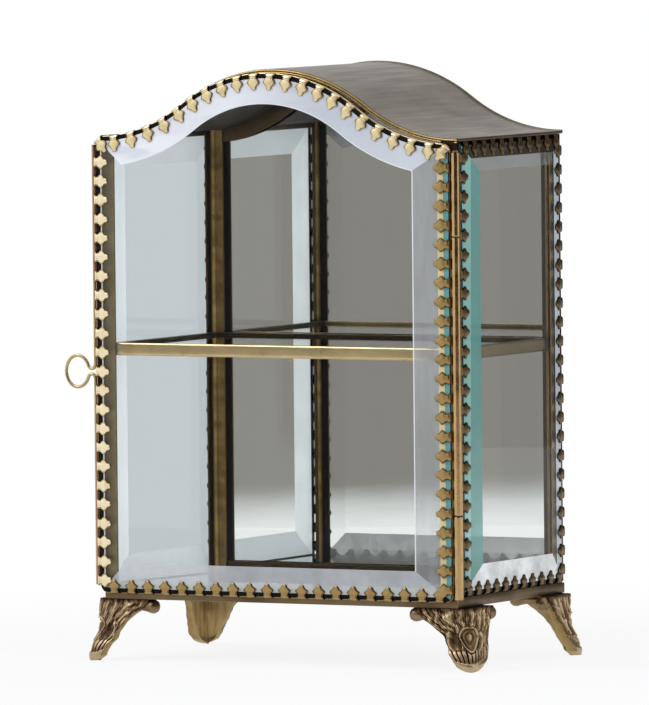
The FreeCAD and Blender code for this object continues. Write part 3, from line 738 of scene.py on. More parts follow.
def petal_stock(name, reach):
    """One petal, its X along the strip, its Y into the pane and its Z out of the pane."""
    rings = []
    relief = []
    leaf = []

    def row(y, half, heights, floor, shine):
        ring = [(column * half, y, height) for column, height in zip(PETAL_COLUMNS, heights)]
        ring += [(side * half * UNDERCUT, max(y, -PETAL_FLOAT), floor) for side in (1.0, -1.0)]
        rings.append(ring)
        relief.extend([bright * shine for bright in PETAL_RELIEF] + [UNDER_SHADE] * 2)
        leaf.extend([(point[0], y, 0.0) for point in ring])

    for y, half, drop, shine in PETAL_FOLD:
        row(y, half, [drop + height * 0.3 for height in PETAL_HEIGHTS], drop, shine)
    for share, half in PETAL_OUTLINE:
        tip = share == 1.0
        droop = (1.0 - 0.42 * share**2) * (0.75 if tip else 1.0)
        heights = [height * droop for height in PETAL_HEIGHTS]
        row(share * reach, half, heights, PETAL_FLOAT, TIP_RELIEF if tip else 1.0)
    stock = Shape()
    stock.tube(rings, "gilt_strip", relief)
    stock.leaf = leaf
    return bpy.data.objects.new(name, stock.mesh(name, 0.0))


def gallery_tree():
    """Petals in a row along an edge line, each turned to the pane's bevel."""
    tree = bpy.data.node_groups.new("gallery_petals", "GeometryNodeTree")
    inputs = {"Edge line": "Geometry", "Petal": "Object", "Petals": "Int", "First place": "Float",
              "Last place": "Float", "Crookedness": "Float", "Seed": "Int", "Finish": "Material"}
    for name, kind in inputs.items():
        tree.interface.new_socket(name=name, in_out="INPUT", socket_type=f"NodeSocket{kind}")
    tree.interface.new_socket(name="Row", in_out="OUTPUT", socket_type="NodeSocketGeometry")
    node = Nodes(tree).add
    given = node("NodeGroupInput")
    crooked = given["Crookedness"]
    line = node("GeometryNodeMeshToCurve", None, {0: given["Edge line"]})
    end = node("GeometryNodeCurveLength", None, {0: line}) - given["Last place"]
    trimmed = node("GeometryNodeTrimCurve", {"mode": "LENGTH"}, {0: line, 4: given["First place"], 5: end})
    spots = node("GeometryNodeCurveToPoints", {"mode": "COUNT"},
                 {"Curve": trimmed, "Count": given["Petals"]})
    outward = node("GeometryNodeInputNamedAttribute", {"data_type": "FLOAT_VECTOR"}, {"Name": "outward"})
    facing = node("FunctionNodeAxesToRotation", {"primary_axis": "Z", "secondary_axis": "X"},
                  {0: outward, 1: spots["Tangent"]})
    skew = node("FunctionNodeRandomValue", {"data_type": "FLOAT"},
                {2: crooked * -1.0, 3: crooked, 8: given["Seed"]}, 1)
    turn = node("ShaderNodeCombineXYZ", None, {2: skew})
    turn = node("FunctionNodeEulerToRotation", None, {0: turn})
    facing = node("FunctionNodeRotateRotation", {"rotation_space": "LOCAL"}, {0: facing, 1: turn})
    stock = node("GeometryNodeObjectInfo", None, {0: given["Petal"]}, "Geometry")
    row = node("GeometryNodeInstanceOnPoints", None,
               {"Points": spots["Points"], "Instance": stock, "Rotation": facing})
    row = node("GeometryNodeRealizeInstances", None, {0: row})
    row = node("GeometryNodeSetMaterial", None, {"Geometry": row, "Material": given["Finish"]})
    node("NodeGroupOutput", None, {0: row})
    return tree


GALLERY = gallery_tree()
PETALS = {"long": petal_stock("long_petal", PETAL_REACH), "short": petal_stock("short_petal", LOW_REACH)}


def grown(tree, name, points, outward, inputs):
    """Run a tree on a line of points in millimetres, and return the mesh that it makes."""
    host_mesh = bpy.data.meshes.new(name)
    place = np.asarray(points) * MM + MIDDLE
    host_mesh.from_pydata(place.tolist(), [(index, index + 1) for index in range(len(place) - 1)], [])
    facing = host_mesh.attributes.new("outward", "FLOAT_VECTOR", "POINT")
    facing.data.foreach_set("vector", np.asarray(outward, float).ravel())
    host = linked(name, host_mesh)
    modifier = host.modifiers.new(name, "NODES")
    modifier.node_group = tree
    for socket in tree.interface.items_tree:
        if socket.name in inputs:
            modifier[socket.identifier] = inputs[socket.name]
    graph = bpy.context.evaluated_depsgraph_get()
    made = host.evaluated_get(graph)
    mesh = bpy.data.meshes.new_from_object(made, preserve_all_data_layers=True, depsgraph=graph)
    host.modifiers.remove(modifier)
    bpy.data.objects.remove(host)
    return mesh


PETAL_LIFT = 0.03
# The copper wire along a rail: its radius, and its place in the rail's section
EDGING = 0.7
EDGING_PLACE = (-0.8, -0.3)
# How far the edging stops short of the ends of the handle's legs
EDGING_GAP = 0.9


def strip(name, points, inward, outward, edge, slope, lip, lip_cut, body, finish, ends, petal="long", seed=1,
          ease=0.0, rail=None, edging=()):
    """A gallery strip along an edge line: a folded rail and a row of petals over the edge of the pane.

    ends gives how far the first and the last petal stand from the two ends of the line, rail a finish of its
    own for the rail, and edging the heights between which a copper wire is soldered along its outside.
    """
    rail = rail or finish
    points = np.asarray(points, float)
    inward = np.broadcast_to(np.asarray(inward, float), points.shape)
    middle = len(points) // 2
    if np.dot(points[middle] - points[middle - 1], np.cross(inward[middle], outward)) < 0:
        points = points[::-1]
        inward = inward[::-1]
        ends = ends[::-1]
    shape = Shape()
    back = -edge - SHEET
    band = [(-0.5, back + 0.2), (-0.42, back), (-0.1, back), (0.0, back + 0.1), (0.0, -0.95), (-0.08, -0.83),
            (-0.25, -0.78), (-0.42, -0.83), (-0.5, -0.95)]
    stations = [(point, into, outward) for point, into in zip(points, inward)]
    shape.sweep(band, stations, rail, (0.4, 0.4, 0.3, 0.2, 0.3, 0.9, 1.0, 0.95, 0.8))
    for span in edging:
        along = [((*points[0][:2], z), inward[0], outward) for z in span]
        shape.sweep(circle(10, EDGING) + EDGING_PLACE, along, "copper_rail")
    reach = np.concatenate([[0.0], np.cumsum(np.linalg.norm(np.diff(points, axis=0), axis=1))])
    behind = [(lip, -edge - 0.1), (lip, back + 0.08), (lip - 0.1, back), (0.0, back), (0.0, -edge)]
    inside = (reach > lip_cut) & (reach < reach[-1] - lip_cut)
    start = points[0] + unit(points[1] - points[0]) * lip_cut
    end = points[-1] - unit(points[-1] - points[-2]) * lip_cut
    cut_points = [start, *points[inside], end]
    cut_inward = [inward[0], *inward[inside], inward[-1]]
    shape.sweep(behind, [(point, into, outward) for point, into in zip(cut_points, cut_inward)], rail, 0.3)
    tilted = np.array([unit(outward - slope * into) for into in inward])
    petals = grown(GALLERY, f"{name}_row", points + outward * (PETAL_LIFT + ease), tilted, {
        "Petal": PETALS[petal],
        "Petals": round((reach[-1] - sum(ends)) / PETAL_PITCH) + 1,
        "First place": ends[0] * MM,
        "Last place": ends[1] * MM,
        "Crookedness": CROOKEDNESS,
        "Seed": seed,
        "Finish": FINISHES[finish],
    })
    shape.take(petals, finish)
    piece(name, shape, body, FOLD_CREASE)


def door_strips():
    y = EDGE_FRONT
    low = DOOR_LOW + CORNER_ROUND
    top = LEFT_SHOULDER - CORNER_ROUND
    left = DOOR_LEFT + SHEET - LEFT_PROUD
    right = DOOR_RIGHT - SHEET
    common = (-DEEP, EDGE, SLOPE, TRIM_LIP, 0.0, "door")
    below = HANDLE_Z - NECK_RISE - LOWER_LEG + EDGING_GAP
    above = HANDLE_Z + NECK_RISE + UPPER_LEG - EDGING_GAP
    # The left strip takes the lit copy of the brass, the right and bottom ones a shaded copy: painted light
    # and shade
    strip("door_trim_left", [(left, y, low), (left, y, top)], ACROSS, *common, "cream_strip", (1.8, 7.3),
          seed=2, rail="copper_rail", edging=((low, below), (above, top)))
    strip("door_trim_right", [(right, y, low), (right, y, SHOULDER - CORNER_ROUND)], -ACROSS, *common,
          "deep_strip", (1.7, 6.2), seed=3)
    points, inward = door_foot(SHEET, SHEET, SHEET)
    strip("door_trim_bottom", lifted(points, y), lifted(inward, 0.0), *common, "deep_strip", (7.2, 8.6),
          "short", seed=4)
    points, inward = door_line(SHEET, SHEET, SHEET)
    strip("door_trim_top", lifted(points, y), lifted(inward, 0.0), *common, "gilt_strip", (2.2, 2.2),
          seed=5, ease=0.05)


def side_strips(hand, side):
    x = SIDE_EDGE * side
    front = SIDE_FRONT + SHEET
    back = BACK - SHEET
    low = BASE_TOP + SHEET
    top = ROOF_LOW - SHEET
    common = (ACROSS * side, EDGE, SLOPE, TRIM_LIP)
    runs = {
        "front": ((front, BASE_TOP), (front, ROOF_LOW), DEEP, SHEET, "long", (5.6, 7.4)),
        "back": ((back, BASE_TOP), (back, ROOF_LOW), -DEEP, SHEET, "long", (5.6, 7.4)),
        "bottom": ((front, low), (back, low), UP, TRIM_LIP, "short", (5.0, 5.0)),
        "top": ((front, top), (back, top), -UP, TRIM_LIP, "long", (5.0, 5.0)),
    }
    for number, (name, (start, end, inward, cut, petal, ends)) in enumerate(runs.items()):
        # The side strips take the darkest copy of the brass: painted shade
        strip(f"{hand}_trim_{name}", [(x, *start), (x, *end)], inward, *common, cut, "case",
              "aged_strip", ends, petal, seed=10 + number)


def back_strips():
    y = PLATE_BACK
    side = SIDE_INNER - SHEET
    low = BASE_TOP + SHEET
    line, _ = back_line(0.0, SHEET)
    arch, inward = back_line(SHEET, SHEET)
    runs = {
        "left": ([(-side, y, BASE_TOP), (-side, y, line[0][1])], ACROSS, SHEET, "long", (7.0, 8.0)),
        "right": ([(side, y, BASE_TOP), (side, y, line[-1][1])], -ACROSS, SHEET, "long", (7.0, 8.0)),
        "bottom": ([(-side, y, low), (side, y, low)], UP, MIRROR_LIP, "short", (8.0, 8.0)),
        "top": (lifted(arch, y), lifted(inward, 0.0), MIRROR_LIP, "long", (6.0, 6.0)),
    }
    for number, (name, (points, into, cut, petal, ends)) in enumerate(runs.items()):
        # The back strips take the darkest copy of the brass: painted shade
        strip(f"back_trim_{name}", points, into, DEEP, PLATE_BACK - MIRROR_FRONT, 0.0, MIRROR_LIP, cut,
              "case", "aged_strip", ends, petal, seed=21 + number)


# Glass

# Shares of the bevel: a painted highlight line at the flat face, the polished slope, and two bands by the rim
LINE_SHARE = 0.03
HINGE_BAND = 0.70
LOW_BAND = 0.56
DOOR_RIM = 0.86
SIDE_BANDS = np.array([0.60, 0.42, 0.42, 0.42])


def bevelled(name, body, rim, flat, depth, to_place, band, sides):
    """A pane whose rim lies behind its flat face, with a finish for each side in each stripe of the bevel."""
    rings = []
    for stripe in (0.0, LINE_SHARE, band, DOOR_RIM, 1.0):
        share = np.broadcast_to(stripe, (len(rim),))
        place = flat + (rim - flat) * share[:, None]
        rings.append(to_place(place, depth[0] + (depth[1] - depth[0]) * share))
    rings.append(to_place(rim, depth[2]))
    finishes = [finish for stripe in zip(*sides) for finish in stripe]
    shape = Shape()
    shape.tube(rings, finishes + ["clear_glass"] * len(rim), cap="clear_glass")
    piece(name, shape, body, GLASS_CREASE)


def door_pane():
    inset = SHEET + BEVEL
    hinge_inset = SHEET + HINGE_BEVEL
    top, _ = door_line(SHEET, SHEET, SHEET)
    foot_rim, _ = door_foot(SHEET, SHEET, SHEET)
    rim = np.concatenate([top, foot_rim])
    flat = np.concatenate([door_line(inset, inset, hinge_inset)[0], door_foot(inset, inset, hinge_inset)[0]])
    # Painted light on each side's bevel: a highlight line and the room's reflections, then dark foil with
    # painted shade at the rim; on the hinge side, painted refractions of the brass rail and the green edge
    arch = ("bevel_line", "arch_bevel", "arch_bevel", "rim_dark")
    hinge_side = ("bevel_line", "hinge_bevel", "rim_cream", "rim_teal")
    low = ("low_bevel", "low_bevel", "low_grey", "rim_dark")
    left = ("left_bevel", "left_bevel", "left_bevel", "rim_dark")
    # From the left shoulder over the arch and round; each corner is shared between its two sides
    half = CORNER_POINTS // 2
    sides = [left] * half + [arch] * (len(top) - CORNER_POINTS)
    sides += [hinge_side] * CORNER_POINTS + [low] * CORNER_POINTS + [left] * (half + 1)
    band = np.where(rim[:, 0] > DOOR_RIGHT - CORNER_ROUND, HINGE_BAND, LOW_BAND)
    bevelled("door_glass", "door", rim, flat, (FRONT, EDGE_FRONT, FRONT + PANE), lifted, band, sides)


# Finishes of the front, top, back and bottom bevel of each side pane: painted reflections, refractions and
# shade
SIDE_BEVELS = {
    "right": (
        ("teal_deep", "teal_deep", "teal_light", "rim_sea"),
        ("top_bevel", "top_bevel", "rim_olive", "rim_dark"),
        ("left_bevel", "left_bevel", "back_bevel", "rim_dark"),
        ("bevel_line", "foot_bevel", "foot_bevel", "rim_dark"),
    ),
    "left": (
        ("front_bevel", "front_bevel", "front_bevel", "rim_dark"),
        ("pale_bevel", "pale_bevel", "pale_bevel", "rim_dark"),
        ("left_bevel", "left_bevel", "left_bevel", "rim_dark"),
        ("pale_bevel", "pale_bevel", "pale_bevel", "rim_dark"),
    ),
}


def side_pane(hand, side):
    def corners(inset, front_inset):
        front = SIDE_FRONT + SHEET + front_inset
        back = BACK - SHEET - inset
        low = BASE_TOP + SHEET + inset
        top = ROOF_LOW - SHEET - inset
        return np.array([(front, low), (front, top), (back, top), (back, low)])

    def stand(points, x):
        return np.column_stack([np.broadcast_to(x, (len(points),)), points])

    depth = (HALF * side, SIDE_EDGE * side, (HALF - PANE) * side)
    bevelled(f"{hand}_glass", "case", corners(0.0, 0.0), corners(BEVEL, HINGE_BEVEL), depth, stand,
             SIDE_BANDS, SIDE_BEVELS[hand])


# The silver lies just inside the back of the mirror's glass
SILVER_FRONT = MIRROR_BACK - 0.08
SILVER_BACK = MIRROR_BACK - 0.03
SILVER_SHRINK = 0.999
SILVER_RISE = 0.12


def mirrored_back():
    low = BASE_TOP + SHEET
    top, _ = back_line(SHEET, SHEET)
    outline = np.concatenate([top, [(top[-1][0], low), (top[0][0], low)]])
    within = outline * SILVER_SHRINK + (0.0, SILVER_RISE)

    def plate(name, line, front, back, finish, stands_in=True):
        shape = Shape()
        shape.tube([lifted(line, front), lifted(line, back)], finish)
        piece(name, shape, "case", PLATE_CREASE, stands_in)

    plate("back_mirror", outline, MIRROR_FRONT, MIRROR_BACK, "clear_glass")
    plate("back_silver", within, SILVER_FRONT, SILVER_BACK, "mirror_silver", False)
    plate("back_plate", outline, MIRROR_BACK, PLATE_BACK, "back_bronze")


# Base, floor and feet


def base_and_floor():
    shape = Shape()
    ring = [(BASE_WALL, BASE_LOW), (0.5, BASE_LOW), (0.15, BASE_LOW + 0.15), (0.0, BASE_LOW + 0.5),
            (0.0, BASE_TOP - 0.5), (0.15, BASE_TOP - 0.15), (0.5, BASE_TOP), (BASE_WALL, BASE_TOP)]
    corners = ((-BASE_HALF, CASE_FRONT, 1, 1), (BASE_HALF, CASE_FRONT, -1, 1),
               (BASE_HALF, BACK, -1, -1), (-BASE_HALF, BACK, 1, -1))
    stations = [((x, y, 0.0), (in_x, in_y, 0.0), UP) for x, y, in_x, in_y in corners]
    shape.sweep(ring, stations, "base_bronze", loop=True)
    half = BASE_HALF - BASE_WALL
    shape.slab((-half, CASE_FRONT + BASE_WALL, BASE_TOP - BASE_SHEET), (half, BACK - BASE_WALL, BASE_TOP),
               "base_bronze", soften=0.05)
    piece("base_tray", shape, "case")
    low, high = [(np.array(corner) - MIDDLE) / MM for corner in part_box("floor_mirror")]
    shape = Shape()
    shape.slab(low, high, "floor_silver", soften=0.25)
    piece("floor_mirror", shape, "case", PLATE_CREASE)


FOOT_ROWS = 92
FOOT_COLUMNS = 171
FOOT_WALL = 3.0
WING = 26.5
SIDE_WING = 24.5
BALL = 3.0
# How far the top of the wall is turned in under the base, which closes the slot behind it
FOOT_SEAT = 3.0
# How bright the casting is inside, along the joint with the base, where it is darkened as painted shade, and
# on the bars
INNER_TONE = 0.72
JOINT_SHADE = 0.02
BAR_TONE = 0.62
# The bar at a wing's end, as (place in from its tip, radius)
WING_BAR = ((0.0, 0.05), (0.25, 1.3), (0.9, 2.3), (2.0, 2.9), (3.2, 3.0), (4.4, 2.7), (5.6, 2.3), (7.5, 2.0),
            (10.5, 1.7), (14.0, 1.0))
# Down the casting, as shares of its height: how far the front wing and the side wing run, how far the
# casting leans out of the corner, and how round the corner is
WING_RUN = ((0, 25.0), (0.10, 24.0), (0.19, 21.0), (0.31, 15.9), (0.42, 13.2), (0.55, 11.6), (0.68, 10.8),
            (0.80, 10.2), (0.90, 9.6), (0.96, 8.6), (1, 7.2))
SIDE_RUN = ((0, 23.0), (0.10, 21.5), (0.19, 20.0), (0.31, 18.0), (0.42, 16.8), (0.55, 15.6), (0.68, 14.6),
            (0.80, 13.6), (0.90, 12.4), (0.96, 10.6), (1, 8.6))
LEAN_OUT = ((0, 2.2), (0.2, 2.7), (0.4, 3.6), (0.6, 5.0), (0.75, 6.3), (0.88, 7.1), (0.95, 7.0), (1, 6.3))
LEAN_MOST = 6.85
ROUNDING = ((0, 2.4), (0.3, 3.4), (0.5, 5.6), (0.7, 5.8), (0.9, 5.0), (1, 4.4))
# Locks and finer hairs across a wing
LOCKS = 4.6
HAIRS = 15.0
# Centre, half width and half length of a scroll
SCROLL_ASIDE = 6.4
SCROLL_DROP = 14.6
SCROLL_WIDTH = 2.3
SCROLL_LENGTH = 5.0
# Centre, half width, and height over and under the centre of the shield
SHIELD_ASIDE = 1.0
SHIELD_DROP = 11.8
SHIELD_WIDTH = 4.9
SHIELD_OVER = 4.6
SHIELD_UNDER = 6.6
CLAW_PITCH = 2.25
CLAW_TOP = 17.9
SOLE_RIM = 22.9
EASING = np.linspace(-0.05, 0.05, 7)


def down(table, high):
    """A table of places and sizes read at these heights, with its corners eased."""
    places, sizes = zip(*table)
    return sum(np.interp(np.clip(high + step, 0, 1), places, sizes) for step in EASING) / len(EASING)


def drift(first, second, seed):
    """A smooth wandering field, between about -1 and 1."""
    chance = np.random.default_rng(seed)
    total = np.zeros_like(first)
    for wave, weight in ((0.28, 0.4), (0.5, 0.35), (0.9, 0.25), (1.6, 0.18)):
        angle, phase = chance.uniform(0, 2 * math.pi, 2)
        total += weight * np.sin((first * math.cos(angle) + second * math.sin(angle)) * wave + phase)
    return total


def ridge(distance, width):
    """A rounded ridge of this width about a line at zero distance."""
    return np.exp(-((distance / width) ** 2))


def over(relief, detail, share):
    """Relief that gives way to a detail by this share."""
    return relief * (1 - share) + detail * share


def paw_relief(arc, drop, share, seed):
    """How far the casting stands out, for a place round it, its drop in mm and its share of the wing."""
    wander = drift(arc, drop, seed)
    swirl = drift(arc * 1.3, drop * 0.7, seed + 1)
    tuft = drift(arc * 2.3, drop * 1.2, seed + 4)
    lock = np.cos(2 * math.pi * (np.abs(share) * LOCKS + 0.5 * wander + 0.22 * swirl + 0.02 * drop))
    hair = np.cos(2 * math.pi * (np.abs(share) * HAIRS + 0.8 * swirl + 0.35 * tuft))
    relief = 0.74 + 0.34 * lock + 0.2 * hair + 0.16 * swirl + 0.17 * tuft

    # Scrolls beside the shield, each a ridge bent like a letter C that opens to the shield
    for side, tilt in ((-1, 0.5), (1, 0.4)):
        across = arc * side - SCROLL_ASIDE
        below = drop - SCROLL_DROP
        turned = (across * math.cos(tilt) + below * math.sin(tilt)) / SCROLL_WIDTH
        length = (below * math.cos(tilt) - across * math.sin(tilt)) / SCROLL_LENGTH
        curl = np.sqrt(turned**2 + length**2)
        scroll = 1.25 * ridge(curl - 0.9, 0.26) * smooth(-0.7, 0.2, turned) + 0.25 + 0.12 * tuft
        relief = over(relief, scroll, smooth(1.3, 1.05, curl))

    # Heart-shaped shield near the corner, its point down, with two raised rims and a small drop inside
    aside = arc + SHIELD_ASIDE
    below = drop - SHIELD_DROP
    wide = SHIELD_WIDTH / np.where(below > 0, 1 + 0.1 * below, 1.0)
    radius = np.sqrt((aside / wide) ** 2 + (below / np.where(below > 0, SHIELD_UNDER, SHIELD_OVER)) ** 2)
    radius = radius + 0.2 * ridge(aside, 1.2) * (below < 0) * smooth(0.3, 1.0, radius)
    rims = 1.4 * ridge(radius - 0.93, 0.1) + 0.62 * ridge(radius - 0.62, 0.1)
    field = smooth(1.14, 1.03, radius)
    relief = over(relief, rims + 0.7 * smooth(0.42, 0.16, radius) + 0.22 + 0.08 * tuft, field)

    # Claws with dark slots over a smooth rim at the sole
    start = CLAW_TOP - 0.012 * arc**2 + 0.6 * wander
    sole = SOLE_RIM - 0.03 * arc**2 + 0.2 * wander
    zone = smooth(start - 0.6, start + 0.5, drop) * smooth(sole + 0.3, sole - 0.5, drop) * (1 - field)
    finger = np.abs(np.cos(math.pi * (arc + 0.5 * wander + 0.05 * arc * (drop - start)) / CLAW_PITCH))
    bulge = 0.75 + 0.25 * np.sin((drop - start) * 0.9 + 0.5)
    relief = over(relief, 1.3 * smooth(0.2, 0.65, finger) * bulge + 0.1 * tuft, zone)
    return over(relief, 1.1 + 0.06 * tuft, smooth(sole - 0.4, sole + 0.3, drop))


def foot(name, x, y, turn, hand, seed):
    """A paw at a corner, its wings along X and Y before it is turned to its place.

    hand is 1 where its wing along X ends up along the front or the back, and -1 where the other does.
    """
    rows = FOOT_ROWS
    columns = FOOT_COLUMNS
    high, share = np.meshgrid(np.linspace(0, 1, rows), np.linspace(-1, 1, columns), indexing="ij")
    drop = high * BASE_LOW * (1 - 0.09 * smooth(0.55, 1.0, high) * share**2)
    ragged = drift(drop * 1.8, np.sign(share) * 4.0, seed + 2)
    ragged *= smooth(0.1, 0.25, high) * smooth(0.92, 0.7, high)
    run = np.where(share * hand > 0, down(WING_RUN, high), down(SIDE_RUN, high))
    along = share * (run + 0.7 * ragged)

    # The wall bends from one wing to the other along a hyperbola
    root = np.sqrt(along**2 + down(ROUNDING, high) ** 2)
    out = down(LEAN_OUT, high)
    px = 0.5 * (along + root) - out
    py = 0.5 * (-along + root) - out
    slant_x = 0.5 * (1 + along / root)
    slant_y = 0.5 * (-1 + along / root)
    size = np.sqrt(slant_x**2 + slant_y**2)
    normal_x = slant_y / size
    normal_y = -slant_x / size
    step = np.sqrt(np.diff(px, axis=1) ** 2 + np.diff(py, axis=1) ** 2)
    arc = np.concatenate([np.zeros((rows, 1)), np.cumsum(step, axis=1)], axis=1)
    arc = arc - arc[:, columns // 2][:, None]
    relief = paw_relief(arc * hand, drop, share, seed)
    edge_fade = smooth(1.0, 0.93, np.abs(share))
    height = (relief - 0.85) * (0.3 + 0.7 * edge_fade)
    outer = np.stack([np.maximum(px + normal_x * height, -LEAN_MOST),
                      np.maximum(py + normal_y * height, -LEAN_MOST), -drop], axis=-1)
    inset = -FOOT_WALL * (1 + 0.5 * smooth(0.3, 0.95, high)) + 0.25 * drift(along, drop, seed + 3)
    inset[0] -= FOOT_SEAT
    inner = np.stack([px + normal_x * inset, py + normal_y * inset, -drop], axis=-1)

    # One grid goes down the outside and up the inside, and the two ends of the wings are closed by themselves
    # Tone from the relief, darker towards the ends of the wings, and darkened along the top as painted shade
    # under the base
    shade = np.clip((relief - 0.02) / 1.2, 0, 1)
    shade = shade * (0.55 + 0.45 * edge_fade) * (0.25 + 0.75 * smooth(0.0, 0.07, high))
    tones = np.concatenate([shade, np.full((rows, columns), INNER_TONE)])
    tones[[0, -1]] = JOINT_SHADE
    faces = quads(2 * rows, columns, along=True)
    skins = ["cast_paw"] * (rows - 1) + ["cast_back"] * rows + ["cast_paw"]
    names = [skin for skin in skins for _ in range(columns - 1)]
    for row in range(rows - 1):
        opposite = 2 * rows - 1 - row
        for column in (0, columns - 1):
            faces.append([line * columns + column for line in (row, row + 1, opposite - 1, opposite)])
            names.append("cast_back")
    shape = Shape()
    shape.add(np.concatenate([outer, inner[::-1]]).reshape(-1, 3), faces, names, tones)
    for ahead, beside, front in ((ACROSS, DEEP, hand > 0), (DEEP, ACROSS, hand < 0)):
        tip = WING if front else SIDE_WING
        bar = [((tip - place) * ahead - (BALL + 0.1) * UP + 0.4 * beside, beside * thick, UP * thick)
               for place, thick in WING_BAR]
        shape.sweep(circle(20), bar, "cast_paw", BAR_TONE)
    shape.turn(turn, x, y, BASE_LOW)
    piece(name, shape, "case", CAST_CREASE)


def feet():
    foot("foot_front_left", -FOOT_HALF, FOOT_FRONT, 0, 1, 41)
    foot("foot_front_right", FOOT_HALF, FOOT_FRONT, 90, -1, 51)
    foot("foot_back_right", FOOT_HALF, FOOT_BACK, 180, 1, 61)
    foot("foot_back_left", -FOOT_HALF, FOOT_BACK, 270, -1, 71)


# Posts, roof and shelf

POST_ROWS = 190
# How far the solder fills the corner, point by point, and how bright it is there
SOLDER_FILL = (0.2, 0.8, 1.0, 1.0, 0.8, 0.2)
SOLDER_TONE = (0.45, 0.72, 0.72, 0.45)
SOLDER_PATCH = (0.8, 1.0, 1.0, 0.8)
SOLDER_MOST = 0.7


def post(name, x, y, turn, legs, seed, face, inside=(0.04, 0.04), skin="post_solder"):
    """A folded angle from base to roof with an uneven run of solder in its corner.

    face is the tone of painted light and shade on its two outer faces, inside the same for its two legs
    inside, and skin the finish of the outer faces.
    """
    chance = np.random.default_rng(seed)
    first, second = legs
    one, two = inside
    bend = [(3.0 - 2.0 * math.sin(angle), 3.0 - 2.0 * math.cos(angle))
            for angle in np.linspace(0, math.pi / 2, len(SOLDER_FILL))]
    section = np.array([
        (0.12, 0.0), (first - 0.12, 0.0), (first, 0.12), (first, 0.88), (first - 0.12, 1.0), *bend,
        (1.0, second - 0.12), (0.88, second), (0.12, second), (0.0, second - 0.12), (0.0, 0.12),
    ])
    # Painted light and shade over the section: outer faces and inner legs as given, darker at the folded
    # edges
    tone = np.array([face, face, 0.3, 0.2, one, one, *SOLDER_TONE, two, two, 0.2, 0.3, face, face])
    solder = np.array([0.0] * 5 + [*SOLDER_FILL] + [0.0] * 5)
    patchy = np.array([0.0] * 4 + [one, one, *SOLDER_PATCH, two, two] + [0.0] * 4)
    heights = np.linspace(BASE_TOP, ROOF_LOW, POST_ROWS)
    swell = np.convolve(chance.normal(0.0, 0.55, POST_ROWS + 2), (0.25, 0.5, 0.25), "valid")
    wide = np.convolve(chance.normal(0.0, 0.9, POST_ROWS + 10), np.full(11, 1 / 11), "valid")
    rings = []
    tones = []
    for z, lump in zip(heights, swell + wide):
        fill = solder * np.clip(0.3 + lump * 0.2, 0.0, 0.9) * SOLDER_MOST
        rings.append(np.column_stack([section + fill[:, None], np.full(len(section), z)]))
        tones.append(np.clip(tone + patchy * lump * 0.15, 0.02, 1.0))
    sides = ["post_solder"] * len(section)
    sides[0] = skin
    sides[-2] = skin
    shape = Shape()
    shape.tube(rings, sides, tones, cap="post_solder")
    shape.turn(turn, x, y, 0.0)
    piece(name, shape, "case")


def posts():
    front = (POST_WIDTH, POST_DEPTH)
    back = (POST_WIDTH, POST_WIDTH)
    narrow = (POST_NARROW, POST_NARROW)
    # Each post has its own painted light and shade; the back right one is finished in the lit copy of the
    # channel brass
    post("post_front_left", -POST_OUTER, CASE_FRONT, 0, front, 31, 0.62, skin="post_olive")
    post("post_front_right", POST_OUTER, CASE_FRONT, 90, front[::-1], 32, 0.12)
    post("post_back_right", SIDE_INNER, BACK_INNER, 180, narrow, 33, 0.95, (0.95, 0.05), "shelf_channel")
    post("post_back_left", -SIDE_INNER, BACK_INNER, 270, back, 34, 0.3, (0.05, 0.7))


# The roll at each end of the roof: its radius, and its place in from the end and over the roof's edge
ROLL = 0.75
ROLL_IN = 0.7
ROLL_OVER = 0.35
# The wires that make up each bead, as (height over the roof line, radius)
FRONT_WIRES = ((0.2, 0.5), (-0.75, 0.5))
BACK_WIRES = ((0.6, 0.8),)
WIRE_TONE = 0.7


def roof():
    points, inward = roof_line()

    def stations(y):
        return [((x, y, z), DEEP, (-in_x, 0.0, -in_z)) for (x, z), (in_x, in_z) in zip(points, inward)]

    front = CASE_FRONT + BEAD - BEAD_FLAT
    back = BACK - BEAD + BEAD_FLAT
    across = np.linspace(front, back, 9)
    section = [(y, 0.0) for y in across] + [(y, ROOF_SHEET) for y in across[::-1]]
    under = len(across) - 1
    shape = Shape()
    shape.sweep(section, stations(0.0), ["roof_inside"] * under + ["roof_bronze"] * (len(section) - under))
    for side in (-1, 1):
        roll = [((side * (HALF - ROLL_IN), y, ROOF_LOW + ROLL_OVER), ACROSS, UP) for y in (front, back)]
        shape.sweep(circle(12, ROLL), roll, "base_bronze", WIRE_TONE)
    piece("roof_sheet", shape, "case")
    for name, y, finish, wires in (("roof_bead_front", CASE_FRONT + BEAD / 2, "roof_bead", FRONT_WIRES),
                                   ("roof_bead_back", BACK - BEAD / 2, "roof_bronze", BACK_WIRES)):
        shape = Shape()
        for height, thick in wires:
            shape.sweep(circle(12, thick) + (0.0, height), stations(y), finish, WIRE_TONE)
        piece(name, shape, "case")


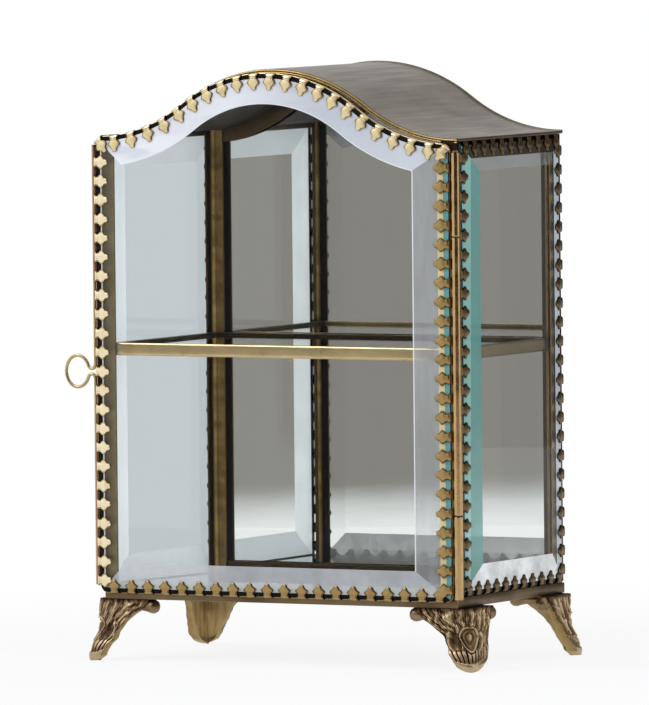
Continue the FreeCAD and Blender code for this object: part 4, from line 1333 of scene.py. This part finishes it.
def shelf():
    low = SHELF_LOW
    top = SHELF_TOP
    glass_low = low + (top - low - SHELF_GLASS) / 2
    glass_top = glass_low + SHELF_GLASS
    shape = Shape()
    shape.slab((-SHELF_HALF + SHELF_SHEET, SHELF_FRONT + SHELF_SHEET, glass_low),
               (SHELF_HALF - SHELF_SHEET, SHELF_BACK - SHELF_SHEET, glass_top), "clear_glass", soften=0.2)
    piece("shelf_glass", shape, "case", PLATE_CREASE)
    section = [
        (SHELF_FLANGE, low + 0.1), (0.9, low), (0.35, low + 0.12), (0.06, low + 0.5), (0.0, low + 1.2),
        (0.0, top - 1.2), (0.06, top - 0.5), (0.35, top - 0.12), (0.9, top), (SHELF_FLANGE, top - 0.1),
        (SHELF_FLANGE, glass_top + 0.02), (SHELF_SHEET, glass_top + 0.02), (SHELF_SHEET, glass_low - 0.02),
        (SHELF_FLANGE, glass_low - 0.02),
    ]
    # Painted light across the channel's section: a painted highlight along the middle of its face, darker
    # round its rolled edges and flanges, and painted shade in the groove round the glass
    tone = (0.5, 0.6, 0.6, 0.7, 0.85, 0.95, 0.85, 0.7, 0.6, 0.4, 0.2, 0.1, 0.1, 0.2)
    long = SHELF_HALF - SHELF_CORNER
    near = SHELF_FRONT + SHELF_FLANGE
    far = SHELF_BACK - SHELF_FLANGE
    # The front channel takes the lit copy of the brass and the others the shaded copy: painted light and
    # shade
    runs = {
        "front": ((-long, SHELF_FRONT), (long, SHELF_FRONT), DEEP, "shelf_channel"),
        "back": ((-long, SHELF_BACK), (long, SHELF_BACK), -DEEP, "dark_channel"),
        "left": ((-SHELF_HALF, near), (-SHELF_HALF, far), ACROSS, "dark_channel"),
        "right": ((SHELF_HALF, near), (SHELF_HALF, far), -ACROSS, "dark_channel"),
    }
    for name, (start, end, inward, finish) in runs.items():
        shape = Shape()
        stations = [((x, y, 0.0), inward, UP) for x, y in np.linspace(start, end, 9)]
        shape.sweep(section, stations, finish, tone)
        piece(f"shelf_edge_{name}", shape, "case")


# Hinge and handle

LEAF_SOFTEN = 0.15
# How far short of the hinge's axis the door's leaf stops, inside its barrel
DOOR_LEAF_END = 1.6
KNUCKLE_LIP = 0.28
KNUCKLE_TONE = (0.2, 0.3, 0.5, 0.9, 0.9, 0.9, 0.9, 0.5, 0.3, 0.2)


def knuckle(low, top):
    """A tube with rounded ends; the rings just inside the ends keep its long side shaded straight."""
    lip = KNUCKLE_LIP
    end = [(BORE, 0.0), (BARREL - lip, 0.0), (BARREL - 0.07, lip * 0.4), (BARREL, lip), (BARREL, lip + 0.3)]
    profile = [(radius, low + rise) for radius, rise in end]
    profile += [(radius, top - rise) for radius, rise in end[::-1]]
    shape = Shape()
    shape.lathe(*HINGE, profile, "hinge_barrel", KNUCKLE_TONE)
    return shape


def hinge():
    x, y = HINGE
    lower = BARREL_LOW + END_KNUCKLE
    upper = BARREL_TOP - END_KNUCKLE
    for name, low, top, leaf_low in (("hinge_knuckle_bottom", BARREL_LOW, lower, BASE_TOP),
                                     ("hinge_knuckle_top", upper, BARREL_TOP, upper)):
        shape = knuckle(low, top)
        shape.slab((POST_OUTER + LEAF_GAP, CASE_FRONT - LEAF_LAP, leaf_low),
                   (POST_OUTER + LEAF_SHEET, CASE_FRONT + LEAF_DEPTH, top),
                   "post_solder", LEAF_SOFTEN, relief=0.3)
        piece(name, shape, "case")
    low = lower + KNUCKLE_GAP
    top = upper - KNUCKLE_GAP
    shape = knuckle(low, top)
    shape.slab((DOOR_RIGHT, EDGE_FRONT + EDGE_OPEN, low), (x - DOOR_LEAF_END, y + LEAF_SHEET, top),
               "hinge_barrel", LEAF_SOFTEN, relief=0.4)
    piece("hinge_knuckle_door", shape, "door")
    end = [(0.02, PIN), (PIN_HEAD - HEAD_CUT, PIN), (PIN_HEAD, HEAD_CUT), (PIN_HEAD, 0.0), (PIN, 0.0)]
    profile = [(radius, BARREL_LOW - drop) for radius, drop in end]
    profile += [(radius, BARREL_TOP + rise) for radius, rise in end[::-1]]
    shape = Shape()
    shape.lathe(x, y, profile, "hinge_barrel", relief=0.6, segments=20)
    piece("hinge_pin", shape, "case")


# Where the handle's legs become straight, up and down from its neck, and how short of full length they stop
UPPER_BEND = 12.0
LOWER_BEND = 10.0
LEG_SHORT = 0.3
NECK_POINTS = 12
LOOP_POINTS = 40
WIRE_SIDES = 14


def handle():
    """Wire bent to a loop with a narrow neck, its two legs along the door's edge."""
    span = math.sqrt((LOOP + NECK) ** 2 - NECK_RISE**2)
    lean = math.atan2(NECK_RISE, span)
    neck = [(NECK * math.cos(turn) - NECK, NECK_RISE - NECK * math.sin(turn))
            for turn in np.linspace(0, math.pi - lean, NECK_POINTS)]
    loop = [(LOOP * math.cos(turn) - NECK - span, LOOP * math.sin(turn))
            for turn in np.linspace(lean, 2 * math.pi - lean, LOOP_POINTS)[1:-1]]
    path = [(0.0, NECK_RISE + UPPER_LEG - LEG_SHORT), (0.0, NECK_RISE + UPPER_BEND), *neck, *loop]
    path += [(px, -pz) for px, pz in neck[::-1]]
    path += [(0.0, -NECK_RISE - LOWER_BEND), (0.0, -NECK_RISE - LOWER_LEG + LEG_SHORT)]
    path = np.array(path)
    path[:, 0] = path[:, 0] * LOOP_SQUEEZE - LEFT_PROUD
    path[:, 1] *= np.where(np.abs(path[:, 1]) > LOOP, 1.0, LOOP_STRETCH)
    path += (HANDLE_X, HANDLE_Z)
    ahead = np.gradient(path, axis=0)
    ahead /= np.linalg.norm(ahead, axis=1)[:, None]
    stations = [((px, HANDLE_Y - LEG_PROUD, pz), (-dz, 0.0, dx), DEEP)
                for (px, pz), (dx, dz) in zip(path, ahead)]
    shape = Shape()
    shape.sweep(circle(WIRE_SIDES, WIRE), stations, "handle_wire", relief=0.85)
    piece("door_handle", shape, "door", FOLD_CREASE)


door_pane()
door_strips()
for hand, side in (("left", -1), ("right", 1)):
    side_pane(hand, side)
    side_strips(hand, side)
mirrored_back()
back_strips()
base_and_floor()
feet()
posts()
roof()
shelf()
hinge()
handle()


# Stage, in metres

WHITE = (1.0, 1.0, 1.0, 1.0)
CARD_FOOT = (0.9, 0.92, 0.93, 1.0)
FLOOR_GREY = (0.86, 0.86, 0.86, 1.0)
FLOOR_REACH = 6.0
SKY = (0.92, 0.95, 1.0, 1.0)
SKY_POWER = 0.62
SQUARE = ((-1, -1), (1, -1), (1, 1), (-1, 1))
RAYS = ("camera", "diffuse", "glossy", "transmission", "volume_scatter", "shadow")


def staged(name, corners, material):
    mesh = bpy.data.meshes.new(name)
    mesh.from_pydata([tuple(corner) for corner in corners], [], [(0, 1, 2, 3)])
    mesh.materials.append(material)
    thing = linked(name, mesh)
    return thing


def card(name, middle, facing, wide, high, tone, sees, fade=0.0):
    """A plain card that stands in for the room, met by one kind of ray; it is pale up to fade at its foot."""
    facing = Vector(facing).normalized()
    side = facing.cross(Vector((0, 0, 1))).normalized()
    top = side.cross(facing)
    corners = [Vector(middle) + side * a * wide / 2 + top * b * high / 2 for a, b in SQUARE]
    finish = Finish(name)
    shade = colour(*tone)
    if fade:
        height = finish.parts(finish.place())[2]
        drifting = (finish.noise(5.0, 4.0, (1.0, 1.0, 6.0)) - 0.5) * fade
        shade = finish.blend(finish.steps(height + drifting, 0.0, fade), CARD_FOOT, shade)
    thing = staged(name, corners, finish.done(finish.add("ShaderNodeEmission", None, {"Color": shade})))
    for ray in RAYS:
        setattr(thing, f"visible_{ray}", ray == sees)


def pale_floor():
    finish = Finish("stage_floor")
    matt = finish.add("ShaderNodeBsdfDiffuse", None, {"Color": FLOOR_GREY})
    glow = finish.add("ShaderNodeEmission", None, {"Color": WHITE})
    distance = finish.add("ShaderNodeVectorMath", {"operation": "LENGTH"}, {0: finish.place()}, "Value")
    share = finish.seen() * finish.steps(distance, 0.15, 0.5, 0.88, 1.0)
    corners = [(x * FLOOR_REACH, y * FLOOR_REACH, 0.0) for x, y in SQUARE]
    staged("stage_floor", corners, finish.done(finish.mix(share, matt, glow)))


def surround():
    world = bpy.data.worlds.new("surround")
    bpy.context.scene.world = world
    world.use_nodes = True
    nodes = Nodes(world.node_tree)
    soft = nodes.add("ShaderNodeBackground", None, {"Color": SKY, "Strength": SKY_POWER})
    white = nodes.add("ShaderNodeBackground", None, {"Color": WHITE})
    nodes.add("ShaderNodeOutputWorld", None, {"Surface": nodes.mix(nodes.seen(), soft, white)})


LAMP_AIM = Vector((0.0, 0.0, 0.12))


def lamp(name, place, size, power):
    light = bpy.data.lights.new(name, "AREA")
    light.size = size
    light.energy = power
    thing = linked(name, light)
    thing.location = place
    thing.rotation_euler = (LAMP_AIM - Vector(place)).to_track_quat("-Z", "Y").to_euler()


IMAGE_WIDTH = 649
AZIMUTH = math.radians(28.0)
ELEVATION = math.radians(3.10)
ROLL_ANGLE = math.radians(-0.55)
FOCAL = 12000.0
MM_PER_PIXEL = 0.4227
SHIFT_PIXELS = (-6.2, 12.8)
SENSOR = 36.0
CLIP_END = 50.0
AIM_HEIGHT = DOOR_LOW + 95.2


def camera():
    right = Vector((math.cos(AZIMUTH), math.sin(AZIMUTH), 0.0))
    level = math.cos(ELEVATION)
    away = Vector((math.sin(AZIMUTH) * level, -math.cos(AZIMUTH) * level, math.sin(ELEVATION)))
    up = away.cross(right)
    cam_right = right * math.cos(ROLL_ANGLE) + up * math.sin(ROLL_ANGLE)
    cam_up = up * math.cos(ROLL_ANGLE) - right * math.sin(ROLL_ANGLE)
    target = Vector((MIDDLE[0], MIDDLE[1], AIM_HEIGHT * MM))
    data = bpy.data.cameras.new("photo_camera")
    data.sensor_fit = "HORIZONTAL"
    data.sensor_width = SENSOR
    data.lens = FOCAL / IMAGE_WIDTH * SENSOR
    data.shift_x = SHIFT_PIXELS[0] / IMAGE_WIDTH
    data.shift_y = SHIFT_PIXELS[1] / IMAGE_WIDTH
    data.clip_end = CLIP_END
    thing = linked("photo_camera", data)
    turn = Matrix((cam_right, cam_up, away)).transposed().to_4x4()
    thing.matrix_world = Matrix.Translation(target + away * FOCAL * MM_PER_PIXEL * MM) @ turn
    bpy.context.scene.camera = thing


pale_floor()
surround()
card("room_card", (-0.34, -0.65, 0.31), (0.465, 0.885, 0.0), 1.9, 0.62, (142, 138, 133), "transmission",
     0.025)
card("wall_card", (-0.2, 0.44, 0.15), (0.465, -0.885, 0.0), 1.6, 1.2, (194, 201, 205), "transmission")
card("near_flag", (0.823, -1.133, 0.5), (-0.588, 0.809, 0.0), 2.5, 1.9, (60, 48, 36), "glossy")
card("far_flag", (0.8, 1.3, 0.5), (-0.52, -0.85, 0.0), 1.4, 1.6, (60, 52, 42), "glossy")
lamp("window_lamp", (-1.3, -1.5, 1.9), 1.2, 24.0)
lamp("side_lamp", (1.9, -0.7, 1.1), 1.0, 9.0)
camera()

bpy.context.scene.view_settings.view_transform = "Standard"
